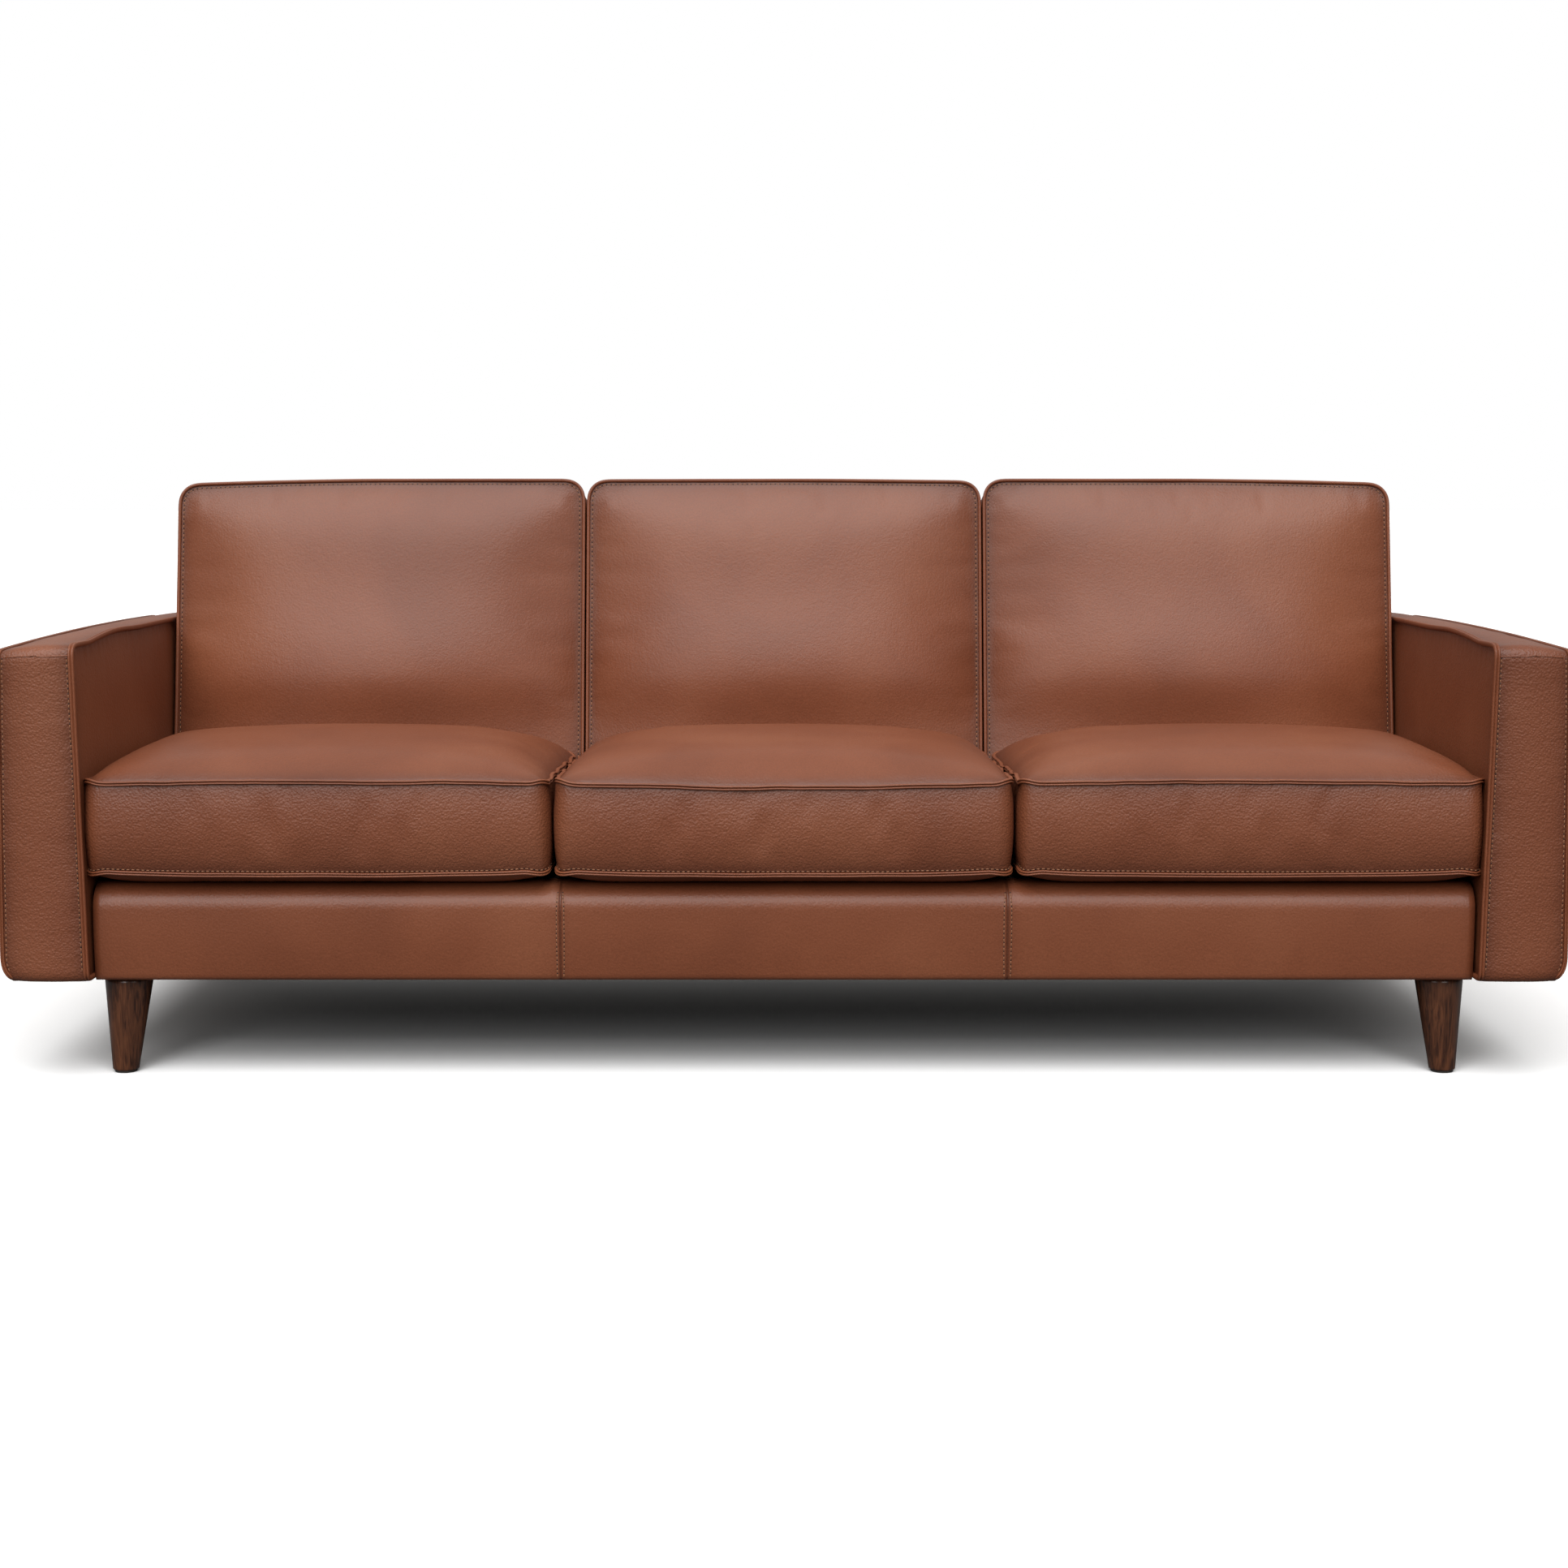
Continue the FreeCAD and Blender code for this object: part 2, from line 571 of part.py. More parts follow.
def leaned_board(label, half_width, behind, thick, low, high):
    """A flat piece that lies in the leaned plane of the back, given distances behind and up it."""
    box = doc.addObject("Part::Box", label)
    box.setExpression("Length", formula(f"2 * ({half_width})"))
    box.setExpression("Width", formula(thick))
    box.setExpression("Height", formula(f"({high}) - ({low})"))
    box.Placement = Placement(Vector(), Rotation(Vector(-1, 0, 0), 1))
    box.setExpression("Placement.Rotation.Angle", formula("back_lean"))
    return place(box, f"-({half_width})",
                 f"back_seat_y + ({behind}) * cos(back_lean) + ({low}) * sin(back_lean)",
                 f"deck_high + cushion_lift - ({behind}) * sin(back_lean) + ({low}) * cos(back_lean)")


def make_outside_back():
    """The leather that covers the back frame's rear, top and ends, open at its front."""
    body = doc.addObject("PartDesign::Body", "outside_back_cover")
    front_low = back_front("deck_high + leather", "cushion_lift")
    front_high = back_front("back_top", "cushion_lift")
    profile = outline(body, "side", "YZ_Plane", [
        ("back_rear - 2 * leather", "arm_base"), ("back_rear", "arm_base"), ("back_rear", "back_top"),
        (front_high, "back_top"), (front_low, "deck_high + leather"),
        ("back_rear - 2 * leather", "deck_high + leather")])
    pad(body, profile, "2 * back_side")
    roof = "back_top - leather"
    hollow = outline(body, "hollow", "YZ_Plane", [
        (f"{front_low} - 100", "arm_base - 20"), (REAR_WOOD, "arm_base - 20"), (REAR_WOOD, roof),
        (f"{front_low} - 100", roof)])
    pocket(body, hollow, f"2 * {BACK_INSIDE}", symmetric=True)
    return node(body)


def make_back():
    """The back frame and its covers."""
    middle = ("back_split - timber / 2", "back_split + timber / 2")
    for name, side in SIDES:
        make_back_post(f"outer_{name}", *across(side, f"{BACK_INSIDE} - timber", BACK_INSIDE))
        make_back_post(f"inner_{name}", *across(side, *middle))
    width = (f"-{BACK_INSIDE}", BACK_INSIDE)
    behind_posts = (f"{REAR_WOOD} - timber", REAR_WOOD)
    front = back_front(BACK_RAIL_TOP, BACK_FACE)
    node(board("back_top_rail", width, (front, REAR_WOOD), (f"{BACK_RAIL_TOP} - timber", BACK_RAIL_TOP)))
    node(board("back_middle_rail", width, behind_posts, ("back_top / 2", "back_top / 2 + 4 * timber")))
    node(board("back_top_padding", width, (front, REAR_WOOD), (BACK_RAIL_TOP, "back_top - leather")))

    slope = "((back_top - deck_high) / cos(back_lean))"
    straps = []
    for number in range(4):
        low = f"({number} + 0.6) * webbing_pitch"
        straps.append(leaned_board(f"strap_{number + 1}", BACK_INSIDE, "cushion_lift + leather",
                                   "webbing_thick", low, f"{low} + webbing_width"))
    node(group("back_webbing", straps))
    node(leaned_board("inner_back_cover", BACK_INSIDE, "cushion_lift", "leather", "cushion_lift",
                      f"{slope} - 4 * leather"))
    make_outside_back()


# ---- cushions: a foam core in a boxed leather cover, one crowned face ----

def make_cushion_form(label, width, length, thick, crown, corner, inset):
    """The solid where three rounded profiles meet: its side, its front and its plan.

    It lies face up, its length along +Y from the origin; inset shrinks it all round.
    """
    half = f"({width} / 2 - {inset})"
    near, far = f"({inset})", f"({length} - {inset})"
    low, high = f"({inset})", f"({thick} - {inset})"
    beyond = 80
    body = doc.addObject("PartDesign::Body", f"{label}_side")
    side = outline(body, "outline", "YZ_Plane", [(near, low), (far, low), (far, high), (near, high)],
                   arcs={2: arc_radius(f"{length} - 2 * {inset}", crown)})
    round_all(body, pad(body, side, f"{width} + {beyond}"), "cushion_edge")

    front_body = doc.addObject("PartDesign::Body", f"{label}_front")
    front = outline(front_body, "outline", "XZ_Plane",
                    [(f"-{half}", low), (half, low), (half, high), (f"-{half}", high)],
                    arcs={2: arc_radius(f"{width} - 2 * {inset}", crown)})
    round_all(front_body, pad(front_body, front, f"2 * {length} + {beyond}"), "cushion_edge")

    plan_body = doc.addObject("PartDesign::Body", f"{label}_plan")
    plan = rectangle(plan_body, "outline", "XY_Plane", (f"-{half}", half), (near, far))
    round_all(plan_body, pad(plan_body, plan, f"4 * {thick}"), corner)

    form = doc.addObject("Part::MultiCommon", label)
    form.Shapes = [body, front_body, plan_body]
    return form


def make_cushion(kind, name, centre, width, sizes, where, tilt=None):
    """A cushion's foam core and its leather cover, in place."""
    outer = make_cushion_form(f"{kind}_cushion_form_{name}", width, *sizes, "0")
    core = make_cushion_form(f"{kind}_cushion_core_{name}", width, *sizes, "cushion_leather")
    for piece in (outer, core):
        if tilt:
            piece.Placement = Placement(Vector(), Rotation(Vector(1, 0, 0), 1))
            piece.setExpression("Placement.Rotation.Angle", formula(tilt))
        place(piece, centre, *where)
    node(boolean("Cut", f"{kind}_cushion_cover_{name}", outer, core))
    node(core)


def make_cushions(kind, split, sizes, where, tilt=None):
    """A row of three cushions between the arms."""
    side_width = f"({ARM_INNER} - {split} - cushion_gap)"
    for name, side in SIDES:
        make_cushion(kind, name, f"{side} * ({ARM_INNER} + {split}) / 2", side_width, sizes, where, tilt)
    make_cushion(kind, "centre", "0", f"(2 * {split} - cushion_gap)", sizes, where, tilt)


# ---- the whole sofa ----

bolt_holes = make_bolt_holes()
for side_name, side_sign in SIDES:
    make_arm(side_name, side_sign, bolt_holes)
make_arm_bolts()
make_seat_frame(bolt_holes)
make_springs_and_clips()
make_deck()
make_front_rail_dress()
make_leg_fittings()
make_back()
make_cushions("seat", "seat_split", ("seat_length", "seat_thick", "seat_crown", "seat_corner"),
              (f"-{ARM_END} + seat_front", "deck_high + cushion_lift"))
make_cushions("back", "back_split", ("back_length", "back_thick", "back_crown", "back_corner"),
              ("back_seat_y", "deck_high + cushion_lift"), tilt="90 - back_lean")
doc.recompute()


# ---- checks, then one file for each piece ----

for thing in doc.Objects:
    if {"Invalid", "Error"} & set(thing.State):
        raise RuntimeError(f"{thing.Label} did not recompute: {thing.State}")
    if thing.TypeId == "PartDesign::Pocket" and thing.Shape.Volume > thing.BaseFeature.Shape.Volume - 1:
        raise RuntimeError(f"{thing.Label} cuts nothing")
for piece in nodes:
    if piece.Shape.isNull() or not piece.Shape.isValid() or not piece.Shape.Solids:
        raise RuntimeError(f"{piece.Label} has no valid solid")

os.makedirs("parts", exist_ok=True)
for piece in nodes:
    piece.Shape.exportStep(f"parts/{piece.Label}.step")
whole = Part.makeCompound([piece.Shape for piece in nodes]).BoundBox
extent = " x ".join(f"{side:.1f}" for side in (whole.XLength, whole.YLength, whole.ZLength))
print(f"{len(nodes)} pieces, {extent} mm, lowest at {whole.ZMin:.2f}")
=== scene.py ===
import math

import bmesh
import bpy
from mathutils import Matrix, Vector, noise
from mathutils.bvhtree import BVHTree
from mathutils.kdtree import KDTree


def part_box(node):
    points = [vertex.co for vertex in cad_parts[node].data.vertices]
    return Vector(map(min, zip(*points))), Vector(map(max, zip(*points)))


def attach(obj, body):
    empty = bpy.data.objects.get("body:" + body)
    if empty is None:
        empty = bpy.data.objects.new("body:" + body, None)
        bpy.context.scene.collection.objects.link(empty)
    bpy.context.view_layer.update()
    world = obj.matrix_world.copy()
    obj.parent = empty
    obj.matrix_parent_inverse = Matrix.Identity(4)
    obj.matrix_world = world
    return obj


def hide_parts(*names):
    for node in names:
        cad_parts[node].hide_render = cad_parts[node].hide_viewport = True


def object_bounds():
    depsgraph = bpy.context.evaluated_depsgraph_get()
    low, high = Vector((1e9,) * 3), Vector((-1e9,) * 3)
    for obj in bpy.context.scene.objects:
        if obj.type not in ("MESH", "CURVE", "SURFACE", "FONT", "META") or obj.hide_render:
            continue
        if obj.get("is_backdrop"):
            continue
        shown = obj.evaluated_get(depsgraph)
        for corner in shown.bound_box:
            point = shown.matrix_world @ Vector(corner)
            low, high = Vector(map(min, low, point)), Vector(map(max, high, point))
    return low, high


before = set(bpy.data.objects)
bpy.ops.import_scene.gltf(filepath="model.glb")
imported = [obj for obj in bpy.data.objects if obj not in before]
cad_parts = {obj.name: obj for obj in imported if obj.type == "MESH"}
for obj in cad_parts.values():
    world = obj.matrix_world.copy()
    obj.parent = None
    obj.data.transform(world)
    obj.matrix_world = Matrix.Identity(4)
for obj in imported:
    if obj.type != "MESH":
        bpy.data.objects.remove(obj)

cad_low, cad_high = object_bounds()
scene = bpy.context.scene

# ---- the studio ----
# A pale seamless floor under an even white surround, one wide soft light overhead, two softer ones in front,
# and a camera squarely in front of the sofa at the height of its back cushions' top edge.

CAMERA_AWAY = 3.72
CAMERA_HIGH = 0.8752
CAMERA_DOWN = math.radians(6.743)
CAMERA_LENS = 60.006
SURROUND_WHITE = (1, 0.985, 0.96, 1)
SURROUND_DIM = 0.13
SURROUND_GAINS = (("Z", 0.42), ("Y", 0.30))
FLOOR_SIZE = 60

camera = bpy.data.objects.new("camera", bpy.data.cameras.new("camera"))
camera.data.sensor_width = 36.0
camera.data.lens = CAMERA_LENS
camera.location = (0, cad_low.y - CAMERA_AWAY, CAMERA_HIGH)
camera.rotation_euler = (math.pi / 2 - CAMERA_DOWN, 0, 0)
scene.collection.objects.link(camera)
scene.camera = camera
scene.view_settings.view_transform = "Standard"


def fill(tree, node, values):
    """Sets a node's inputs, by name or number, each to a value or to another node's output."""
    for socket, value in values.items():
        if isinstance(value, bpy.types.NodeSocket):
            tree.links.new(value, node.inputs[socket])
        else:
            node.inputs[socket].default_value = value


def add_node(tree, kind, values, **settings):
    """Adds a shader node with its settings and inputs."""
    node = tree.nodes.new("ShaderNode" + kind)
    for name, value in settings.items():
        setattr(node, name, value)
    fill(tree, node, values)
    return node


def seen_or_felt(tree, felt, seen, output):
    """Shows one shader where the camera looks and lets the other light everything else."""
    ray = add_node(tree, "LightPath", {})
    choose = add_node(tree, "MixShader", {0: ray.outputs["Is Camera Ray"], 1: felt.outputs[0],
                                          2: seen.outputs[0]})
    fill(tree, tree.nodes[output], {0: choose.outputs[0]})


# what lights the sofa: dim at the horizon in front, brighter overhead and from the backdrop behind
world = bpy.data.worlds.new("surround")
scene.world = world
world.use_nodes = True
sky = world.node_tree
way = add_node(sky, "TexCoord", {})
parts = add_node(sky, "SeparateXYZ", {0: way.outputs["Generated"]})
level = SURROUND_DIM
for axis, gain in SURROUND_GAINS:
    share = add_node(sky, "Math", {0: parts.outputs[axis], 1: gain, 2: level}, operation="MULTIPLY_ADD",
                     use_clamp=True)
    level = share.outputs[0]
fill(sky, sky.nodes["Background"], {"Color": SURROUND_WHITE, "Strength": level})
looked_at = add_node(sky, "Background", {"Color": (1, 1, 1, 1), "Strength": 1.0})
seen_or_felt(sky, sky.nodes["Background"], looked_at, "World Output")


def soft_light(name, place, aim, width, length, watts):
    """A rectangular soft light at a place, turned towards a point."""
    lamp = bpy.data.lights.new(name, "AREA")
    lamp.shape = "RECTANGLE"
    lamp.size = width
    lamp.size_y = length
    lamp.energy = watts
    thing = bpy.data.objects.new(name, lamp)
    thing.location = place
    thing.rotation_euler = (Vector(aim) - Vector(place)).to_track_quat("-Z", "Y").to_euler()
    scene.collection.objects.link(thing)


sun = bpy.data.lights.new("overhead", "SUN")
sun.energy = 3.0
sun.angle = math.radians(58)
overhead = bpy.data.objects.new("overhead", sun)
overhead.rotation_euler = (math.radians(34), math.radians(-5), 0)
scene.collection.objects.link(overhead)
soft_light("front_left", (-1.9, -4.6, 2.0), (-0.3, 0, 0.5), 1.6, 1.2, 30)
soft_light("front_right", (2.1, -4.6, 2.0), (0.3, 0, 0.5), 1.6, 1.2, 22)


def surface(name, colour, roughness):
    """A material with a plain shader; gives it back with its node tree and that shader."""
    material = bpy.data.materials.new(name)
    material.use_nodes = True
    tree = material.node_tree
    shader = tree.nodes["Principled BSDF"]
    fill(tree, shader, {"Base Color": (*colour, 1), "Roughness": roughness})
    return material, tree, shader


def keep_mesh(name, bm, materials):
    """Makes a finished bmesh a smoothly shaded object of the scene, at the origin."""
    for face in bm.faces:
        face.smooth = True
    mesh = bpy.data.meshes.new(name)
    bm.to_mesh(mesh)
    bm.free()
    thing = bpy.data.objects.new(name, mesh)
    scene.collection.objects.link(thing)
    for material in materials:
        mesh.materials.append(material)
    return thing


# the floor is lit white where it is looked at, and throws back only a little light on what stands on it
floor_bm = bmesh.new()
bmesh.ops.create_grid(floor_bm, x_segments=1, y_segments=1, size=FLOOR_SIZE)
floor_paint, floor_tree, floor_shader = surface("pale_floor", (0.14, 0.14, 0.14), 0.9)
floor_shader.inputs["Specular IOR Level"].default_value = 0.0
floor_white = add_node(floor_tree, "BsdfDiffuse", {"Color": (1.1, 1.1, 1.1, 1)})
seen_or_felt(floor_tree, floor_shader, floor_white, "Material Output")
keep_mesh("floor", floor_bm, [floor_paint])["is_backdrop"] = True

# ---- the timber frame ----
# Posts, rails and boards of pale hardwood, glued and screwed, with plywood sides in the arms. None of it
# shows on the finished sofa, but it is what the covers are stapled to.

HARDWOOD = ((0.40, 0.24, 0.11), (0.62, 0.43, 0.24))
PLYWOOD = ((0.44, 0.29, 0.15), (0.66, 0.49, 0.30))
GRAIN_STRETCH = 14


def object_place(tree):
    """The output that gives a surface point's place in the sofa's own frame."""
    return add_node(tree, "TexCoord", {}).outputs["Object"]


def tone_ramp(tree, factor, *stops):
    """A colour ramp of (position, colour) stops, from the lowest up."""
    node = add_node(tree, "ValToRGB", {"Fac": factor})
    ramp = node.color_ramp
    for element, (position, colour) in ((ramp.elements[0], stops[0]), (ramp.elements[1], stops[-1])):
        element.position = position
        element.color = (*colour, 1)
    for position, colour in stops[1:-1]:
        ramp.elements.new(position).color = (*colour, 1)
    return node.outputs["Color"]


def grained(name, dark, light, along, rings, roughness):
    """Wood or plywood: a streaky grain that runs along one axis, with fine pores in it."""
    material, tree, shader = surface(name, light, roughness)
    squeeze = [rings, rings, rings]
    squeeze[along] = rings / GRAIN_STRETCH
    stretch = add_node(tree, "Mapping", {"Vector": object_place(tree), "Scale": squeeze})
    grain = add_node(tree, "TexNoise", {"Vector": stretch.outputs[0], "Scale": 1.0, "Detail": 8.0,
                                        "Distortion": 1.2})
    tones = tone_ramp(tree, grain.outputs["Fac"], (0.34, dark), (0.66, light))
    bump = add_node(tree, "Bump", {"Strength": 0.25, "Distance": 0.0006, "Height": grain.outputs["Fac"]})
    fill(tree, shader, {"Base Color": tones, "Normal": bump.outputs[0]})
    return material


def dress(material, *names):
    """Gives CAD nodes their finish."""
    for name in names:
        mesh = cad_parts[name].data
        if not mesh.materials:
            mesh.materials.append(material)
        for slot in range(len(mesh.materials)):
            mesh.materials[slot] = material


def both_sides(*names):
    """The left-hand and the right-hand node of each name."""
    return [f"{name}_{side}" for name in names for side in ("left", "right")]


timber_across = grained("timber_across", *HARDWOOD, 0, 34, 0.62)
timber_deep = grained("timber_deep", *HARDWOOD, 1, 34, 0.62)
timber_upright = grained("timber_upright", *HARDWOOD, 2, 34, 0.62)
plywood = grained("plywood_sheet", *PLYWOOD, 1, 22, 0.58)
dress(timber_across, "front_rail", "back_rail", "back_top_rail", "back_middle_rail", "corner_blocks")
dress(timber_deep, *both_sides("seat_stretcher", "side_rail", "arm_top_rail", "arm_bottom_rail"))
dress(timber_upright, *both_sides("arm_front_post", "arm_rear_post", "back_post_outer", "back_post_inner"))
dress(plywood, *both_sides("arm_inner_board", "arm_outer_board"))

# ---- springs, fittings, foam and cloth under the seat ----
# Zigzag springs of drawn steel wire in clips on the rails, zinc-plated bolts and nuts, sheets of foam, a
# woven deck cloth on the springs, elastic webbing on the back and a thin black cloth under everything.


def metal(name, colour, roughness, scratch):
    """Bare or plated steel with fine scratches and a patchy brightness."""
    material, tree, shader = surface(name, colour, roughness)
    patches = add_node(tree, "TexNoise", {"Vector": object_place(tree), "Scale": scratch, "Detail": 6.0})
    gloss = add_node(tree, "MapRange", {"Value": patches.outputs["Fac"], "To Min": roughness - 0.1,
                                        "To Max": roughness + 0.15})
    fill(tree, shader, {"Metallic": 1.0, "Roughness": gloss.outputs[0]})
    return material


def cellular(name, colour, pores):
    """Cut foam: a dull face full of small open cells."""
    material, tree, shader = surface(name, colour, 0.95)
    cells = add_node(tree, "TexVoronoi", {"Vector": object_place(tree), "Scale": pores})
    bump = add_node(tree, "Bump", {"Strength": 0.5, "Distance": 0.001, "Height": cells.outputs["Distance"]})
    fill(tree, shader, {"Normal": bump.outputs[0]})
    return material


def woven(name, thread, dip_shade, pitch, across=0, along=1):
    """A plain weave: two sets of fine ribs that cross, with painted shade darkening it where they dip."""
    material, tree, shader = surface(name, thread, 0.9)
    place = object_place(tree)
    ribs = [add_node(tree, "TexWave", {"Vector": place, "Scale": 0.314 / pitch, "Distortion": 0.6},
                     bands_direction="XYZ"[axis]) for axis in (across, along)]
    over = add_node(tree, "Math", {0: ribs[0].outputs["Fac"], 1: ribs[1].outputs["Fac"]}, operation="MAXIMUM")
    # painted shade: the weave's colour runs from the dark dip colour up to the thread colour on the ribs
    tones = tone_ramp(tree, over.outputs[0], (0.0, dip_shade), (1.0, thread))
    bump = add_node(tree, "Bump", {"Strength": 0.4, "Distance": pitch / 3, "Height": over.outputs[0]})
    fill(tree, shader, {"Base Color": tones, "Normal": bump.outputs[0]})
    return material


def nylon():
    """Grey moulded nylon with a fine speckle."""
    material, tree, shader = surface("glide_nylon_grey", (0.06, 0.055, 0.05), 0.45)
    speckle = add_node(tree, "TexNoise", {"Vector": object_place(tree), "Scale": 600})
    bump = add_node(tree, "Bump", {"Distance": 0.0002, "Height": speckle.outputs["Fac"]})
    fill(tree, shader, {"Normal": bump.outputs[0]})
    return material


dress(metal("drawn_wire", (0.32, 0.32, 0.33), 0.38, 90), "seat_springs")
dress(metal("zinc_plate", (0.62, 0.63, 0.60), 0.34, 140), "spring_clips", "arm_bolts", "hanger_bolts",
      "tee_nuts")
dress(cellular("wadding", (0.80, 0.76, 0.66), 700), "deck_padding", "back_top_padding")
dress(woven("deck_weave", (0.060, 0.038, 0.028), (0.02, 0.012, 0.009), 0.0016), "seat_deck")
dress(woven("black_cloth", (0.012, 0.012, 0.013), (0.004, 0.004, 0.004), 0.0012), "dust_cover")
dress(woven("elastic_weave", (0.10, 0.10, 0.11), (0.03, 0.03, 0.03), 0.0022, 0, 2), "back_webbing")
dress(nylon(), "glides")

# ---- the legs ----
# Four turned walnut-stained hardwood legs, round and straight-tapered, splayed a little outwards. Each
# screws up into a corner block, with a small bevel at the foot above its nylon glide.

LEG_TOP_RADIUS = 0.0353
LEG_FOOT_RADIUS = 0.0192
LEG_FOOT_PLACE = (0.973, 0.400)
LEG_NECK = 0.0012
LEG_COLLAR = 0.0050
LEG_BEVEL = 0.0022
LEG_BEVEL_HIGH = 0.0032
LEG_EASE = 0.0004
LEG_RINGS = 24


def walnut():
    """Dark walnut stain under satin lacquer, its grain running down the leg."""
    material = grained("walnut_stain", (0.034, 0.0105, 0.0048), (0.150, 0.052, 0.022), 2, 190, 0.32)
    tree = material.node_tree
    fill(tree, tree.nodes["Principled BSDF"], {"Coat Weight": 0.6, "Coat Roughness": 0.22,
                                               "Specular IOR Level": 0.3})
    return material


walnut_stain = walnut()
for corner in ("front_left", "front_right", "rear_left", "rear_right"):
    low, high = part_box(f"leg_{corner}")
    side = 1 if low.x > 0 else -1
    front = 1 if low.y > 0 else -1
    # the leg's top is a circle that reaches the box's inner edges; its foot is splayed out from there
    inner_x = low.x if side > 0 else high.x
    inner_y = low.y if front > 0 else high.y
    top = Vector((inner_x + side * LEG_TOP_RADIUS, inner_y + front * LEG_TOP_RADIUS, high.z))
    foot = Vector((side * LEG_FOOT_PLACE[0], front * LEG_FOOT_PLACE[1], low.z))
    bm = bmesh.new()
    neck = LEG_TOP_RADIUS - LEG_NECK
    profile = [(0, low.z), (LEG_FOOT_RADIUS - LEG_BEVEL, low.z),
               (LEG_FOOT_RADIUS - LEG_EASE, low.z + LEG_BEVEL_HIGH / 2),
               (LEG_FOOT_RADIUS, low.z + LEG_BEVEL_HIGH)]
    for step in range(1, LEG_RINGS):
        share = step / LEG_RINGS
        height = low.z + LEG_BEVEL_HIGH + share * (high.z - low.z - LEG_BEVEL_HIGH - LEG_COLLAR)
        profile.append((LEG_FOOT_RADIUS + (LEG_TOP_RADIUS - LEG_FOOT_RADIUS) * share, height))
    profile += [(LEG_TOP_RADIUS, high.z - LEG_COLLAR), (neck, high.z - 0.004), (neck, high.z - 0.0015),
                (LEG_TOP_RADIUS - LEG_EASE, high.z - 0.001), (LEG_TOP_RADIUS - LEG_EASE, high.z), (0, high.z)]
    chain = [bm.verts.new((radius, 0, height)) for radius, height in profile]
    edges = [bm.edges.new(pair) for pair in zip(chain, chain[1:])]
    bmesh.ops.spin(bm, geom=chain + edges, cent=(0, 0, 0), axis=(0, 0, 1), angle=math.tau, steps=64,
                   use_merge=True)
    bmesh.ops.remove_doubles(bm, verts=bm.verts, dist=1e-6)
    bmesh.ops.recalc_face_normals(bm, faces=bm.faces)
    for vert in bm.verts:
        share = (vert.co.z - low.z) / (high.z - low.z)
        middle = foot.lerp(top, share)
        vert.co.x += middle.x
        vert.co.y += middle.y
    leg = keep_mesh(f"turned_leg_{corner}", bm, [walnut_stain])
    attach(leg, "frame")
    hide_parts(f"leg_{corner}")

# ---- the leather and the way its covers are sewn ----
# Semi-aniline cowhide in a warm chestnut, finely pebbled, with a soft satin and cloudy tone. Covers are cut
# in flat panels; the seams end in a raised double lip, and some are topstitched in a lighter waxed thread.

HIDE_DARK = (0.196, 0.056, 0.0230)
HIDE_MIDDLE = (0.225, 0.066, 0.0275)
HIDE_LIGHT = (0.262, 0.084, 0.037)
# the colour of the painted shade that darkens the leather along its seams
SEAM_PAINTED_SHADE = (0.060, 0.014, 0.0055)
# the colour of the dark dots of painted shade that stand for the needle holes
HOLE_PAINTED_SHADE = (0.020, 0.005, 0.002)
PEBBLE = 0.0029
# how far from a seam the painted shade reaches
SEAM_SHADE_SPREAD = 0.016


def leather(name, pebbles, roughness):
    """Chestnut hide: cloudy tone, painted shade darkening it along the seams, pebbles and fine creases."""
    material, tree, shader = surface(name, HIDE_MIDDLE, roughness)
    place = object_place(tree)
    clouds = add_node(tree, "TexNoise", {"Vector": place, "Scale": 4.2, "Detail": 3.0, "Distortion": 0.3})
    tones = tone_ramp(tree, clouds.outputs["Fac"], (0.30, HIDE_DARK), (0.48, HIDE_MIDDLE), (0.74, HIDE_LIGHT))
    mottle = add_node(tree, "TexNoise", {"Vector": place, "Scale": 380, "Detail": 3.0})
    speck = add_node(tree, "MapRange", {"Value": mottle.outputs["Fac"], "From Min": 0.3, "From Max": 0.7,
                                        "To Min": 0.90, "To Max": 1.08})
    speckled = add_node(tree, "Mix", {0: 1.0, 6: tones, 7: speck.outputs[0]}, data_type="RGBA",
                        blend_type="MULTIPLY")
    # painted shade: the leather is mixed towards a dark colour where the seam attribute marks a seam's
    # channel
    seam_shade_attr = add_node(tree, "Attribute", {}, attribute_name="seam")
    seam_shade_share = add_node(tree, "Math", {0: seam_shade_attr.outputs["Fac"], 1: 0.62}, operation="MULTIPLY")
    shaded = add_node(tree, "Mix", {0: seam_shade_share.outputs[0], 6: speckled.outputs[2], 7: (*SEAM_PAINTED_SHADE, 1)},
                      data_type="RGBA")
    gloss = add_node(tree, "MapRange", {"Value": mottle.outputs["Fac"], "To Min": roughness - 0.06,
                                        "To Max": roughness + 0.08})
    cells = add_node(tree, "TexVoronoi", {"Vector": place, "Scale": 1 / PEBBLE}, feature="SMOOTH_F1")
    creases = add_node(tree, "TexNoise", {"Vector": place, "Scale": 95, "Detail": 6.0, "Distortion": 0.6})
    crease_bump = add_node(tree, "Bump", {"Strength": 0.22, "Distance": 0.0014,
                                          "Height": creases.outputs["Fac"]})
    pebble_bump = add_node(tree, "Bump", {"Strength": pebbles, "Distance": 0.0013,
                                          "Height": cells.outputs["Distance"],
                                          "Normal": crease_bump.outputs[0]}, invert=True)
    fill(tree, shader, {"Base Color": shaded.outputs[2], "Roughness": gloss.outputs[0],
                        "Specular IOR Level": 0.45, "Normal": pebble_bump.outputs[0]})
    return material


